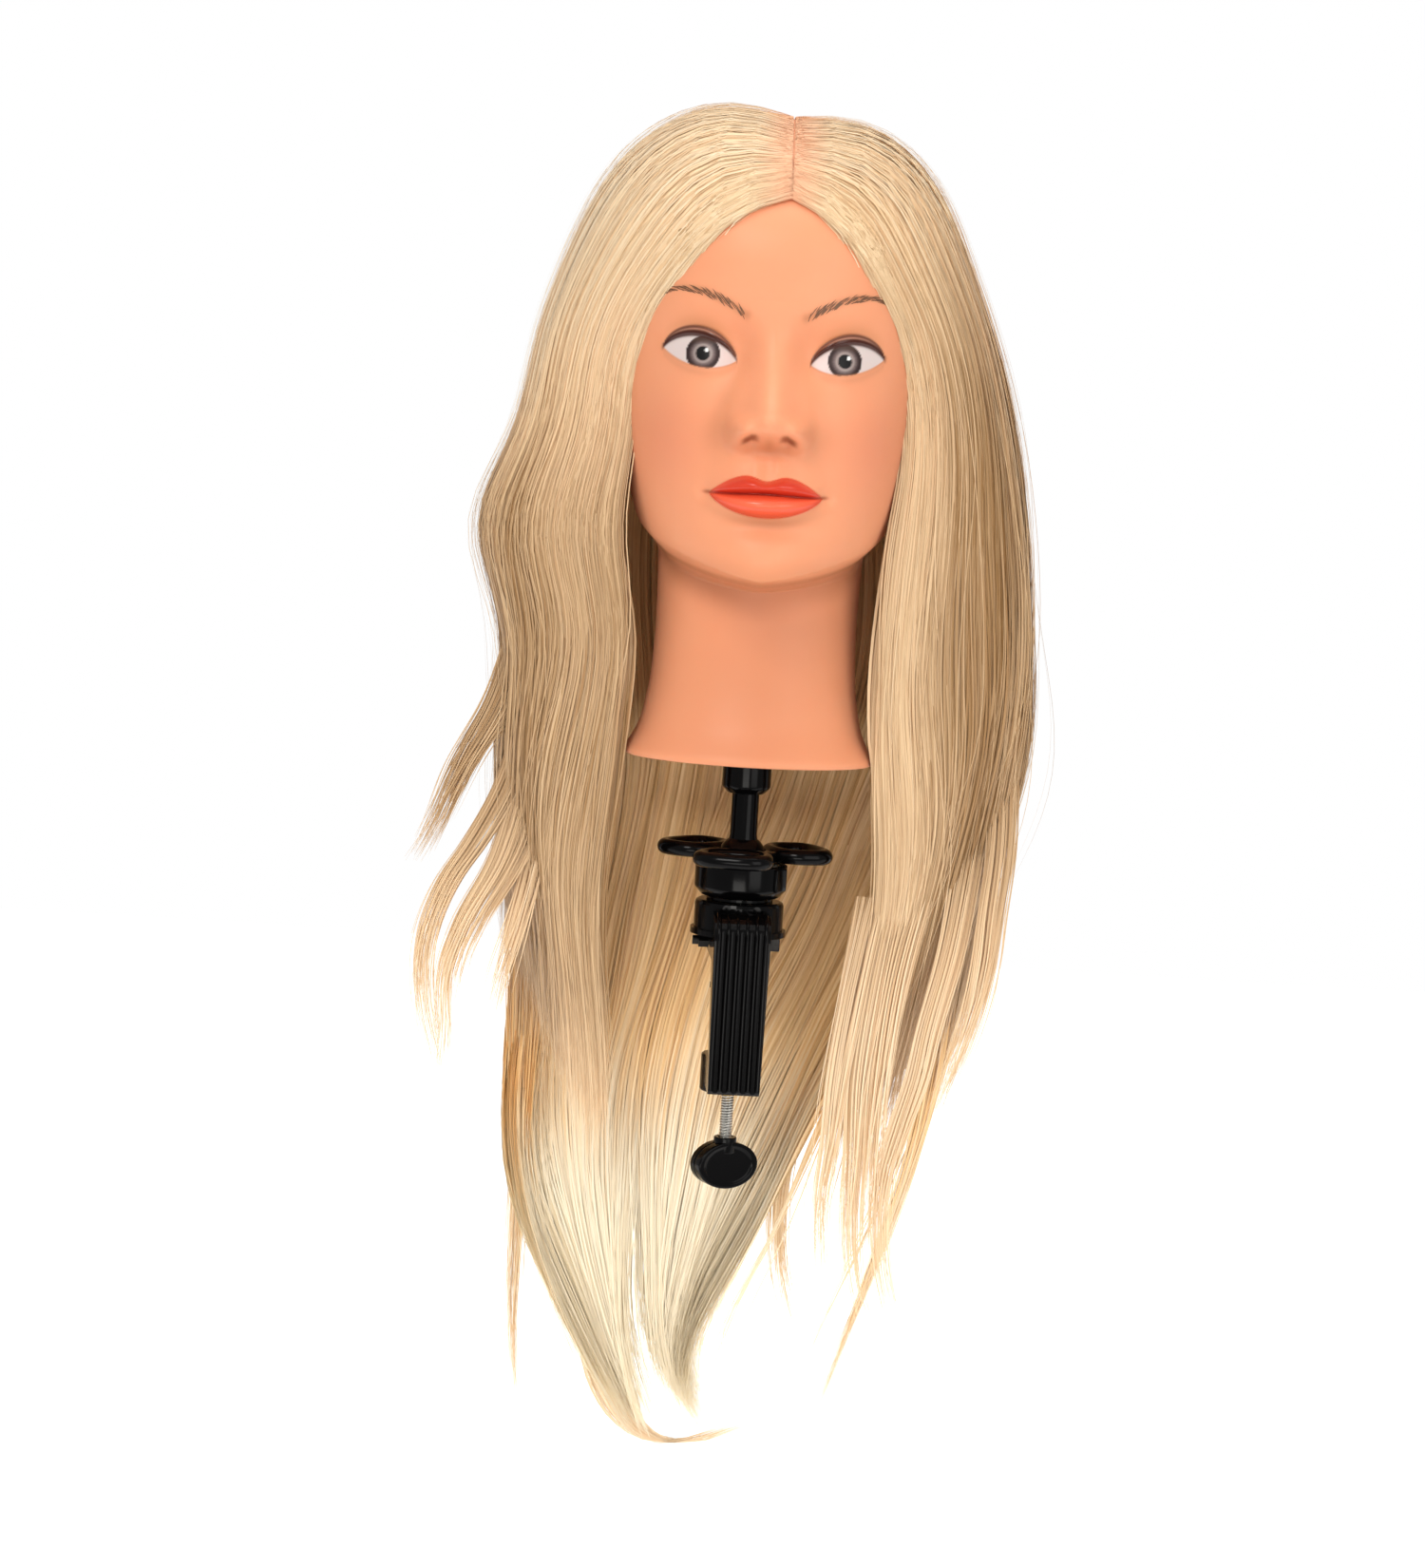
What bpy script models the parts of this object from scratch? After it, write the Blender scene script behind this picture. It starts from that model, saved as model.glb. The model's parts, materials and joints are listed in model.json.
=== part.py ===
"""Salon training head: a vinyl head with long parted hair, on a swivelling table clamp.

Units are metres, +Z is up and the face looks along -Y. The origin is on the post's axis, in the
flat underside of the clamp's upper jaw, where it sits on a table top.
"""
import math

import bmesh
import bpy
from mathutils import Matrix, Vector

GAP = 0.0003                  # play between neighbouring pieces

# Clamp frame, one moulding: upper jaw, spine, lower jaw and the round swivel block
FRAME_WIDTH = 0.026
JAW_THICK = 0.010
JAW_BACK_Y = 0.024
SPINE_FRONT_Y = -0.037
SPINE_BACK_Y = -0.025
SPINE_TOP_Z = 0.022
SPINE_TOP_ROUND = 0.011
SPINE_TOP_BACK_Y = -0.014
SPINE_TAPER = 0.0011          # how much each side leans in from the jaw's top to the foot
SPINE_EDGE_ROUND = 0.0012
THROAT_HEIGHT = 0.0465
LOWER_JAW_THICK = 0.0135
LOWER_JAW_END_Y = 0.004
FOOT_CHAMFER = 0.002
FILLET = 0.004
FLANGE_R = 0.0222
FLANGE_TOP_Z = 0.0124
BLOCK_R = 0.0207
BLOCK_TOP_Z = 0.0257
BLOCK_EDGE_ROUND = 0.0018
BOSS_R = 0.0135
BOSS_BOTTOM_Z = -0.0642
BOSS_EDGE_ROUND = 0.0010
FLUTE_R = 0.0017
FLUTE_STANDOFF = 0.0006       # the flutes' centres lie this far in front of the spine
FLUTE_X = (-0.0086, -0.0043, 0.0, 0.0043, 0.0086)
DIMPLE_R = 0.0019
DIMPLE_X = 0.0070
DIMPLE_Z = 0.0232
DIMPLE_LENGTH = 0.004
DIMPLE_MIDDLE_Y = -0.0202
CLAMP_YAW = math.radians(3.5)

# Clamp screw, its nut, its knob and its pressure pad
SCREW_R = 0.0031
SCREW_TOP_Z = -0.0152
SCREW_END_Z = -0.0975
NUT_R = 0.0055
NUT_LENGTH = 0.010
PAD_R = 0.0115
PAD_TOP_Z = -0.0137
PAD_THICK = 0.0048
FACING_THICK = 0.0015
KNOB_Z = -0.099
KNOB_WIDTH = 0.031
KNOB_HEIGHT = 0.022
KNOB_THICK = 0.0105
KNOB_TURN = math.radians(28)
KNOB_EDGE_ROUND = 0.0016
KNOB_HUB_R = 0.0054
KNOB_HUB_BOTTOM_Z = KNOB_Z + 0.006
KNOB_HUB_TOP_Z = KNOB_Z + 0.013
PAD_RIM = 0.0022
PAD_NECK_R = 0.0068

# Cross bolt through the upper jaw
BOLT_Z = 0.0060
BOLT_R = 0.0022
BOLT_HEAD_HALF = 0.0034
BOLT_HEAD_THICK = 0.0064
BOLT_END = 0.0075             # how far the bolt reaches past the jaw on the nut's side
CROSS_NUT_R = 0.0035
CROSS_NUT_THICK = 0.0046
SMALL_CHAMFER = 0.0005

# Swivel collar, tilting ball and star handwheel
WASHER_R = 0.0155
WASHER_TOP_Z = 0.0272
COLLAR_R = 0.0214
COLLAR_CAVITY_R = 0.0170
COLLAR_FLOOR_Z = 0.0295
COLLAR_TOP_Z = 0.0430
COLLAR_CHAMFER = 0.0008
COLLAR_FOOT_HEIGHT = 0.0040
COLLAR_FOOT_INSET = 0.0035
TAB_SIZE = (0.0034, 0.009, 0.0105)
TAB_MIDDLE_Z = 0.0370
TAB_TURN = math.radians(-32)
SEAT_MOUTH_R = 0.008
SWIVEL_BOLT_R = 0.0030
SWIVEL_HEAD_R = 0.0050
SWIVEL_HEAD_THICK = 0.0032
SWIVEL_BOLT_BOTTOM_Z = 0.0130
BALL_Z = 0.045
BALL_R = 0.0115
SEAT_R = BALL_R + GAP
WHEEL_Z = 0.0475
WHEEL_TUBE_R = 0.0036
LOBE_R = 0.0150
LOBE_REACH = 0.0238
LOBE_AZIMUTHS = (-98, 22, 142)
HUB_R = 0.0166
HUB_TOP_Z = 0.0495
HUB_EDGE_ROUND = 0.0008
HUB_MOUTH_R = 0.0108

# Post and the plug that carries the head
POST_R = 0.0063
POST_TOP_Z = 0.118
POST_CHAMFER = 0.0008
PLUG_R = 0.0113
PLUG_CHAMFER = 0.003
PLUG_BOTTOM_Z = 0.0755
PLUG_TOP_Z = 0.137
PIN_Z = 0.112
PIN_R = 0.0016

# Head
NECK_Z = 0.094
CROWN_Z = 0.377
TEMPLE_Z = 0.315
SHELL_THICK = 0.003
CORE_INSET = 0.0040
SOCKET_R = 0.0140
SOCKET_TOP_Z = 0.1405
PLATE_THICK = 0.0035
PLATE_PLAY = 0.0012
HEAD_RINGS = 34
HEAD_SPOKES = 36
SPOKE_CROWDING = 0.42         # how much closer together the spokes stand across the face
CROWN_SHARE = 4               # one ring in this many lies above the temples
NECK_ROUNDNESS = 2.0
FACE_ROUNDNESS = 2.15

# Jaw line: height in front, rise towards the back, and softness in front and gained at the back
JAW_FRONT_Z = 0.1745
JAW_RISE = 0.050
JAW_BEND = 1.3
JAW_SOFT = 0.006
JAW_SOFT_BACK = 0.010

# Share of the turn from the front over which the face's relief fades in
RELIEF_FADE = (0.15, 0.60)

# Neck and face outlines: height, half width, reach to the front, reach to the back
NECK_STATIONS = (
    (0.094, 0.058, 0.051, 0.053),
    (0.104, 0.0525, 0.0455, 0.049),
    (0.120, 0.0485, 0.041, 0.047),
    (0.143, 0.0465, 0.038, 0.048),
    (0.170, 0.0465, 0.038, 0.052),
    (0.230, 0.050, 0.040, 0.062),
)
FACE_STATIONS = (
    (0.165, 0.041, 0.081, 0.050),
    (0.178, 0.046, 0.0850, 0.056),
    (0.192, 0.0535, 0.0865, 0.062),
    (0.206, 0.0595, 0.0860, 0.068),
    (0.225, 0.0640, 0.0870, 0.076),
    (0.245, 0.0665, 0.0870, 0.086),
    (0.274, 0.0695, 0.0855, 0.094),
    (0.293, 0.0715, 0.0875, 0.096),
    (0.315, 0.0720, 0.0880, 0.096),
)

# Relief of the face: x, z, spread in x, spread in z, height
FACE_RELIEF = (
    (0.0, 0.243, 0.0075, 0.0075, 0.014),
    (0.0, 0.258, 0.0060, 0.0120, 0.009),
    (0.0, 0.276, 0.0060, 0.0100, 0.004),
    (0.012, 0.240, 0.0050, 0.0050, 0.006),
    (0.031, 0.274, 0.0140, 0.0095, -0.005),
    (0.030, 0.293, 0.0170, 0.0060, 0.0015),
    (0.040, 0.246, 0.0150, 0.0130, 0.003),
    (0.0, 0.2185, 0.0150, 0.0040, 0.004),
    (0.0, 0.2085, 0.0130, 0.0045, 0.005),
    (0.0, 0.1975, 0.0160, 0.0040, -0.002),
    (0.0, 0.184, 0.0140, 0.0080, 0.003),
)

# Hair kept on the head: height and outer half width, and reach to the back
HAIR_STATIONS = (
    (0.105, 0.128, 0.108),
    (0.140, 0.118, 0.110),
    (0.190, 0.124, 0.112),
    (0.240, 0.115, 0.113),
    (0.290, 0.099, 0.113),
    (0.330, 0.086, 0.110),
)
HAIR_FRONT = 0.0925
HAIR_TOP_Z = 0.389
HAIR_CAP_Z = 0.330
HAIR_CLEAR = 0.0015
SIDE_FRONT_ANGLE = 62
SIDE_BACK_ANGLE = 126
BACK_EDGE_ANGLE = 132
SIDE_BOTTOM_Z = 0.105
BACK_BOTTOM_Z = 0.116
SIDE_INNER_X = 0.064
SIDE_WIDEN_Z = (0.26, 0.20)   # the side hair leaves the cheek between these heights
BACK_WIDEN_Z = (0.300, 0.240) # the back hair leaves the skull between these heights
BACK_HANG = (0.100, 0.100, 0.096)
CAP_ROWS = 8
SKULL_ROOM_BELOW = 0.010
CAP_SPOKES = 40

# Hanging locks below the neck: height, x and y of the middle, half width, half depth
LOCKS = {
    "hair_fall_left": (
        (0.054, -0.100, 0.012, 0.034, 0.030),
        (0.020, -0.104, 0.016, 0.036, 0.030),
        (-0.030, -0.098, 0.022, 0.030, 0.026),
        (-0.075, -0.090, 0.026, 0.018, 0.018),
        (-0.120, -0.086, 0.028, 0.006, 0.008),
    ),
    "hair_fall_right": (
        (0.054, 0.097, 0.012, 0.033, 0.030),
        (0.010, 0.090, 0.016, 0.030, 0.030),
        (-0.050, 0.083, 0.022, 0.026, 0.025),
        (-0.120, 0.078, 0.028, 0.018, 0.018),
        (-0.190, 0.072, 0.032, 0.007, 0.009),
    ),
    "hair_fall_back_left": (
        (0.036, -0.043, 0.090, 0.040, 0.013),
        (-0.020, -0.064, 0.091, 0.040, 0.014),
        (-0.070, -0.078, 0.091, 0.030, 0.014),
        (-0.115, -0.080, 0.090, 0.031, 0.014),
        (-0.155, -0.072, 0.089, 0.026, 0.013),
        (-0.200, -0.058, 0.088, 0.014, 0.011),
        (-0.262, -0.033, 0.086, 0.007, 0.007),
    ),
    "hair_fall_back_right": (
        (0.036, 0.040, 0.090, 0.040, 0.013),
        (-0.020, 0.026, 0.091, 0.046, 0.014),
        (-0.070, 0.002, 0.091, 0.044, 0.014),
        (-0.120, -0.008, 0.090, 0.036, 0.014),
        (-0.165, -0.018, 0.089, 0.022, 0.012),
        (-0.215, -0.030, 0.088, 0.009, 0.008),
    ),
}
LOCK_SIDES = 20

VINYL = ((0.93, 0.50, 0.28), 0.45, 0.0)
FOAM = ((0.80, 0.74, 0.58), 0.90, 0.0)
BLACK = ((0.012, 0.012, 0.013), 0.25, 0.0)
RUBBER = ((0.03, 0.03, 0.03), 0.80, 0.0)
STEEL = ((0.55, 0.55, 0.53), 0.30, 1.0)
BLACK_STEEL = ((0.03, 0.03, 0.03), 0.35, 1.0)
BRASS = ((0.70, 0.52, 0.25), 0.35, 1.0)
NYLON = ((0.80, 0.78, 0.72), 0.40, 0.0)
HAIR = ((0.80, 0.62, 0.40), 0.45, 0.0)


def clear_scene():
    for obj in list(bpy.data.objects):
        bpy.data.objects.remove(obj, do_unlink=True)


def new_collection(name):
    collection = bpy.data.collections.new(name)
    bpy.context.scene.collection.children.link(collection)
    return collection


def give_material(obj, finish):
    colour, roughness, metallic = finish
    material = bpy.data.materials.new(obj.name + "_finish")
    material.use_nodes = True
    shader = material.node_tree.nodes["Principled BSDF"]
    shader.inputs["Base Color"].default_value = (*colour, 1.0)
    shader.inputs["Roughness"].default_value = roughness
    shader.inputs["Metallic"].default_value = metallic
    material.diffuse_color = (*colour, 1.0)
    obj.data.materials.clear()
    obj.data.materials.append(material)


def object_from_bmesh(name, bm, collection):
    bmesh.ops.recalc_face_normals(bm, faces=bm.faces)
    mesh = bpy.data.meshes.new(name)
    bm.to_mesh(mesh)
    bm.free()
    obj = bpy.data.objects.new(name, mesh)
    collection.objects.link(obj)
    return obj


def smooth(obj, angle=35):
    obj.data.shade_smooth()
    obj.data.set_sharp_from_angle(angle=math.radians(angle))
    return obj


def finish_piece(obj, finish, angle=35):
    give_material(obj, finish)
    smooth(obj, angle)
    return obj


def hide_cutter(obj):
    obj.hide_render = True
    obj.display_type = "WIRE"
    return obj


def combine(obj, other, operation):
    modifier = obj.modifiers.new(operation.title(), "BOOLEAN")
    modifier.operation = operation
    modifier.solver = "EXACT"
    modifier.object = hide_cutter(other)


def bevel(obj, width, segments=2, angle=40):
    modifier = obj.modifiers.new("Bevel", "BEVEL")
    modifier.width = width
    modifier.segments = segments
    modifier.limit_method = "ANGLE"
    modifier.angle_limit = math.radians(angle)
    return obj


def cylinder(name, collection, radius, bottom, top, x=0.0, y=0.0, sides=32, radius_top=None):
    bm = bmesh.new()
    bmesh.ops.create_cone(bm, cap_ends=True, segments=sides, radius1=radius,
                          radius2=radius if radius_top is None else radius_top, depth=top - bottom)
    bmesh.ops.translate(bm, verts=bm.verts, vec=(x, y, (top + bottom) / 2))
    return object_from_bmesh(name, bm, collection)


def cross_cylinder(name, collection, radius, x_low, x_high, y, z, sides=20):
    bm = bmesh.new()
    bmesh.ops.create_cone(bm, cap_ends=True, segments=sides, radius1=radius, radius2=radius,
                          depth=x_high - x_low)
    bmesh.ops.rotate(bm, verts=bm.verts, matrix=Matrix.Rotation(math.pi / 2, 3, "Y"))
    bmesh.ops.translate(bm, verts=bm.verts, vec=((x_low + x_high) / 2, y, z))
    return object_from_bmesh(name, bm, collection)


def box(name, collection, low, high):
    bm = bmesh.new()
    bmesh.ops.create_cube(bm, size=1.0)
    size = Vector(high) - Vector(low)
    middle = (Vector(high) + Vector(low)) / 2
    bmesh.ops.scale(bm, verts=bm.verts, vec=size)
    bmesh.ops.translate(bm, verts=bm.verts, vec=middle)
    return object_from_bmesh(name, bm, collection)


def turned(name, collection, profile, steps=40):
    """A profile of (radius, z) points, from top to bottom down its outer side, turned about Z."""
    mesh = bpy.data.meshes.new(name)
    points = [(radius, 0.0, z) for radius, z in profile]
    closed = profile[0][0] > 0.0
    edges = [(i, i + 1) for i in range(len(points) - 1)]
    if closed:
        edges.append((len(points) - 1, 0))
    mesh.from_pydata(points, edges, [])
    obj = bpy.data.objects.new(name, mesh)
    collection.objects.link(obj)
    screw = obj.modifiers.new("Turn", "SCREW")
    screw.steps = steps
    screw.render_steps = steps
    screw.use_merge_vertices = True
    screw.merge_threshold = 0.00001
    return obj


def arc(centre_r, centre_z, radius, start, end, count):
    """Points of an arc in the turning plane; angles in degrees from +X towards +Z."""
    points = []
    for i in range(count + 1):
        angle = math.radians(start + (end - start) * i / count)
        points.append((centre_r + radius * math.cos(angle), centre_z + radius * math.sin(angle)))
    return points


def at_height(stations, z):
    """Smoothly blended values of the stations at height z."""
    if z <= stations[0][0]:
        return stations[0][1:]
    for low, high in zip(stations, stations[1:]):
        if z <= high[0]:
            t = (z - low[0]) / (high[0] - low[0])
            t = t * t * (3 - 2 * t) * 0.35 + t * 0.65
            return tuple(a + (b - a) * t for a, b in zip(low[1:], high[1:]))
    return stations[-1][1:]


def ease(value, low, high):
    t = min(1.0, max(0.0, (value - low) / (high - low)))
    return t * t * (3 - 2 * t)


def oval(angle, half_width, front, back, power):
    """A point of a rounded oval; the angle is 0 at the front and 90 degrees at +X."""
    sine = math.sin(angle)
    cosine = math.cos(angle)
    reach = front if cosine > 0 else back
    x = half_width * math.copysign(abs(sine) ** (2 / power), sine)
    y = -reach * math.copysign(abs(cosine) ** (2 / power), cosine)
    return x, y


def head_point(angle, z):
    """A point of the vinyl surface: neck below, face and skull above, joined along the jaw line."""
    half_width, front, back = at_height(NECK_STATIONS, z)
    neck_x, neck_y = oval(angle, half_width, front, back, NECK_ROUNDNESS)
    half_width, front, back = at_height(FACE_STATIONS, z)
    if z > TEMPLE_Z:
        t = (z - TEMPLE_Z) / (CROWN_Z - TEMPLE_Z)
        dome = math.sqrt(max(0.0, 1 - t * t))
        half_width, front, back = half_width * dome, front * dome, back * dome
    face_x, face_y = oval(angle, half_width, front, back, FACE_ROUNDNESS)
    turn = abs(math.degrees(math.atan2(math.sin(angle), math.cos(angle))))
    jaw_z = JAW_FRONT_Z + JAW_RISE * (turn / 180) ** JAW_BEND
    spread = JAW_SOFT + JAW_SOFT_BACK * turn / 180
    blend = ease(z, jaw_z - spread, jaw_z + spread)
    x = neck_x + (face_x - neck_x) * blend
    y = neck_y + (face_y - neck_y) * blend
    if y < 0:
        facing = ease(math.cos(angle), *RELIEF_FADE)
        for relief_x, relief_z, spread_x, spread_z, height in FACE_RELIEF:
            sides = (1, -1) if relief_x else (1,)
            for side in sides:
                along = ((x - side * relief_x) / spread_x) ** 2
                up = ((z - relief_z) / spread_z) ** 2
                y -= facing * height * math.exp(-0.5 * (along + up))
    return Vector((x, y, z))


def head_rows(bottom, count):
    """Heights of the head's rings, closer together towards the crown."""
    rows = []
    dome = count // CROWN_SHARE
    for i in range(count - dome):
        rows.append(bottom + (TEMPLE_Z - bottom) * i / (count - dome))
    for i in range(dome):
        rows.append(TEMPLE_Z + (CROWN_Z - TEMPLE_Z) * math.sin(math.pi / 2 * i / dome))
    return rows


def head_angles(count):
    """Directions of the head's spokes, denser across the face."""
    angles = []
    for i in range(count):
        t = 2 * math.pi * i / count
        angles.append(t - SPOKE_CROWDING * math.sin(t))
    return angles


def head_skin(bm, rows, inset=0.0):
    """The head's outer skin over these rows, as an open sheet; a positive inset moves it inward."""
    angles = head_angles(HEAD_SPOKES)
    rings = []
    for z in rows:
        rings.append([bm.verts.new(head_point(angle, z)) for angle in angles])
    crown = bm.verts.new((0.0, 0.0, CROWN_Z))
    count = len(rings[0])
    for low, high in zip(rings, rings[1:]):
        for i in range(count):
            j = (i + 1) % count
            bm.faces.new((low[i], low[j], high[j], high[i]))
    for i in range(count):
        bm.faces.new((rings[-1][i], rings[-1][(i + 1) % count], crown))
    bmesh.ops.recalc_face_normals(bm, faces=bm.faces)
    bm.normal_update()
    if inset:
        moved = [vert.co - vert.normal * inset for vert in bm.verts]
        for vert, place in zip(bm.verts, moved):
            vert.co = place
    return rings[0]


def make_head_shell(collection):
    bm = bmesh.new()
    head_skin(bm, head_rows(NECK_Z, HEAD_RINGS))
    shell = object_from_bmesh("head_shell", bm, collection)
    solid = shell.modifiers.new("Vinyl", "SOLIDIFY")
    solid.thickness = SHELL_THICK
    solid.offset = -1.0
    solid.use_even_offset = False
    return shell


def make_foam_core(collection, cutters):
    bm = bmesh.new()
    rim = head_skin(bm, head_rows(NECK_Z, HEAD_RINGS)[1:], CORE_INSET)
    level = NECK_Z + PLATE_THICK + 2 * GAP
    for vert in rim:
        vert.co.z = level
    bm.faces.new(rim)
    core = object_from_bmesh("foam_core", bm, collection)
    bore = cylinder("socket_room", cutters, SOCKET_R + GAP, NECK_Z - 0.01, SOCKET_TOP_Z + GAP, sides=32)
    combine(core, bore, "DIFFERENCE")
    return core


def make_neck_plate(collection, cutters):
    bm = bmesh.new()
    inset = SHELL_THICK + PLATE_PLAY
    ring = []
    for angle in head_angles(HEAD_SPOKES):
        x, y, _ = head_point(angle, NECK_Z + 0.003)
        size = math.hypot(x, y)
        ring.append(bm.verts.new((x * (1 - inset / size), y * (1 - inset / size), NECK_Z)))
    face = bm.faces.new(ring)
    raised = bmesh.ops.extrude_face_region(bm, geom=[face])
    top = [item for item in raised["geom"] if isinstance(item, bmesh.types.BMVert)]
    bmesh.ops.translate(bm, verts=top, vec=(0, 0, PLATE_THICK))
    plate = object_from_bmesh("neck_base_plate", bm, collection)
    hole = cylinder("plate_hole", cutters, SOCKET_R + GAP, NECK_Z - 0.01, NECK_Z + 0.01, sides=32)
    combine(plate, hole, "DIFFERENCE")
    return plate


def make_neck_socket(collection):
    inner = PLUG_R + GAP
    profile = ((0.0, SOCKET_TOP_Z), (SOCKET_R, SOCKET_TOP_Z), (SOCKET_R, NECK_Z), (inner, NECK_Z),
               (inner, PLUG_TOP_Z + GAP), (0.0, PLUG_TOP_Z + GAP))
    return turned("neck_socket", collection, profile, 32)


def make_ball_post(collection, cutters):
    neck_angle = math.degrees(math.asin(POST_R / BALL_R))
    profile = [(0.0, POST_TOP_Z), (POST_R - POST_CHAMFER, POST_TOP_Z), (POST_R, POST_TOP_Z - POST_CHAMFER)]
    profile += arc(0.0, BALL_Z, BALL_R, 90 - neck_angle, -90, 12)
    profile[-1] = (0.0, BALL_Z - BALL_R)
    post = turned("ball_post", collection, profile, 32)
    combine(post, cross_cylinder("post_pin_hole", cutters, PIN_R + GAP, -SOCKET_R, SOCKET_R, 0.0, PIN_Z),
            "DIFFERENCE")
    return post


def make_plug_sleeve(collection, cutters):
    bore = POST_R + GAP
    profile = [(0.0, PLUG_TOP_Z), (PLUG_R - PLUG_CHAMFER, PLUG_TOP_Z), (PLUG_R, PLUG_TOP_Z - PLUG_CHAMFER),
               (PLUG_R, PLUG_BOTTOM_Z + PLUG_CHAMFER), (PLUG_R - PLUG_CHAMFER, PLUG_BOTTOM_Z),
               (bore, PLUG_BOTTOM_Z), (bore, POST_TOP_Z + GAP), (0.0, POST_TOP_Z + GAP)]
    sleeve = turned("plug_sleeve", collection, profile, 32)
    combine(sleeve, cross_cylinder("sleeve_pin_hole", cutters, PIN_R + GAP, -SOCKET_R, SOCKET_R, 0.0, PIN_Z),
            "DIFFERENCE")
    return sleeve


def make_collar(collection, cutters):
    bolt_room = SWIVEL_BOLT_R + GAP
    foot = WASHER_TOP_Z + GAP
    profile = [(COLLAR_R - COLLAR_CHAMFER, COLLAR_TOP_Z), (COLLAR_R, COLLAR_TOP_Z - COLLAR_CHAMFER),
               (COLLAR_R, foot + COLLAR_FOOT_HEIGHT), (COLLAR_R - COLLAR_FOOT_INSET, foot),
               (bolt_room, foot), (bolt_room, COLLAR_FLOOR_Z),
               (COLLAR_CAVITY_R, COLLAR_FLOOR_Z), (COLLAR_CAVITY_R, COLLAR_TOP_Z)]
    collar = turned("socket_collar", collection, profile, 48)
    bm = bmesh.new()
    bmesh.ops.create_cube(bm, size=1.0)
    bmesh.ops.scale(bm, verts=bm.verts, vec=TAB_SIZE)
    bmesh.ops.translate(bm, verts=bm.verts, vec=(COLLAR_R - COLLAR_CHAMFER, 0, TAB_MIDDLE_Z))
    bmesh.ops.rotate(bm, verts=bm.verts, matrix=Matrix.Rotation(TAB_TURN, 3, "Z"))
    tab = object_from_bmesh("collar_tab", bm, cutters)
    combine(collar, tab, "UNION")
    return collar


def make_ball_seat(collection):
    top = COLLAR_TOP_Z - SMALL_CHAMFER
    low = math.degrees(-math.acos(SEAT_MOUTH_R / SEAT_R))
    high = math.degrees(math.asin((top - BALL_Z) / SEAT_R))
    curve = arc(0.0, BALL_Z, SEAT_R, low, high, 8)
    outer = COLLAR_CAVITY_R - GAP
    bottom = COLLAR_FLOOR_Z + GAP
    profile = [(outer, top), (outer, bottom), (SEAT_MOUTH_R, bottom)] + curve
    return turned("ball_seat", collection, profile, 32)


def make_handwheel(collection, cutters):
    hub_bottom = COLLAR_TOP_Z + GAP
    hub = cylinder("star_handwheel", collection, HUB_R, hub_bottom, HUB_TOP_Z, sides=48)
    bevel(hub, HUB_EDGE_ROUND)
    for index, azimuth in enumerate(LOBE_AZIMUTHS):
        angle = math.radians(azimuth)
        bpy.ops.mesh.primitive_torus_add(
            major_segments=26, minor_segments=10, major_radius=LOBE_R, minor_radius=WHEEL_TUBE_R,
            location=(LOBE_REACH * math.cos(angle), LOBE_REACH * math.sin(angle), WHEEL_Z))
        lobe = bpy.context.active_object
        lobe.name = f"lobe_{index + 1}"
        for owner in list(lobe.users_collection):
            owner.objects.unlink(lobe)
        cutters.objects.link(lobe)
        combine(hub, lobe, "UNION")
    bm = bmesh.new()
    bmesh.ops.create_uvsphere(bm, u_segments=40, v_segments=24, radius=SEAT_R)
    bmesh.ops.translate(bm, verts=bm.verts, vec=(0, 0, BALL_Z))
    combine(hub, object_from_bmesh("wheel_ball_room", bm, cutters), "DIFFERENCE")
    mouth = cylinder("wheel_mouth", cutters, HUB_MOUTH_R, WHEEL_Z, WHEEL_Z + 2 * WHEEL_TUBE_R, sides=40)
    combine(hub, mouth, "DIFFERENCE")
    return hub


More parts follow.
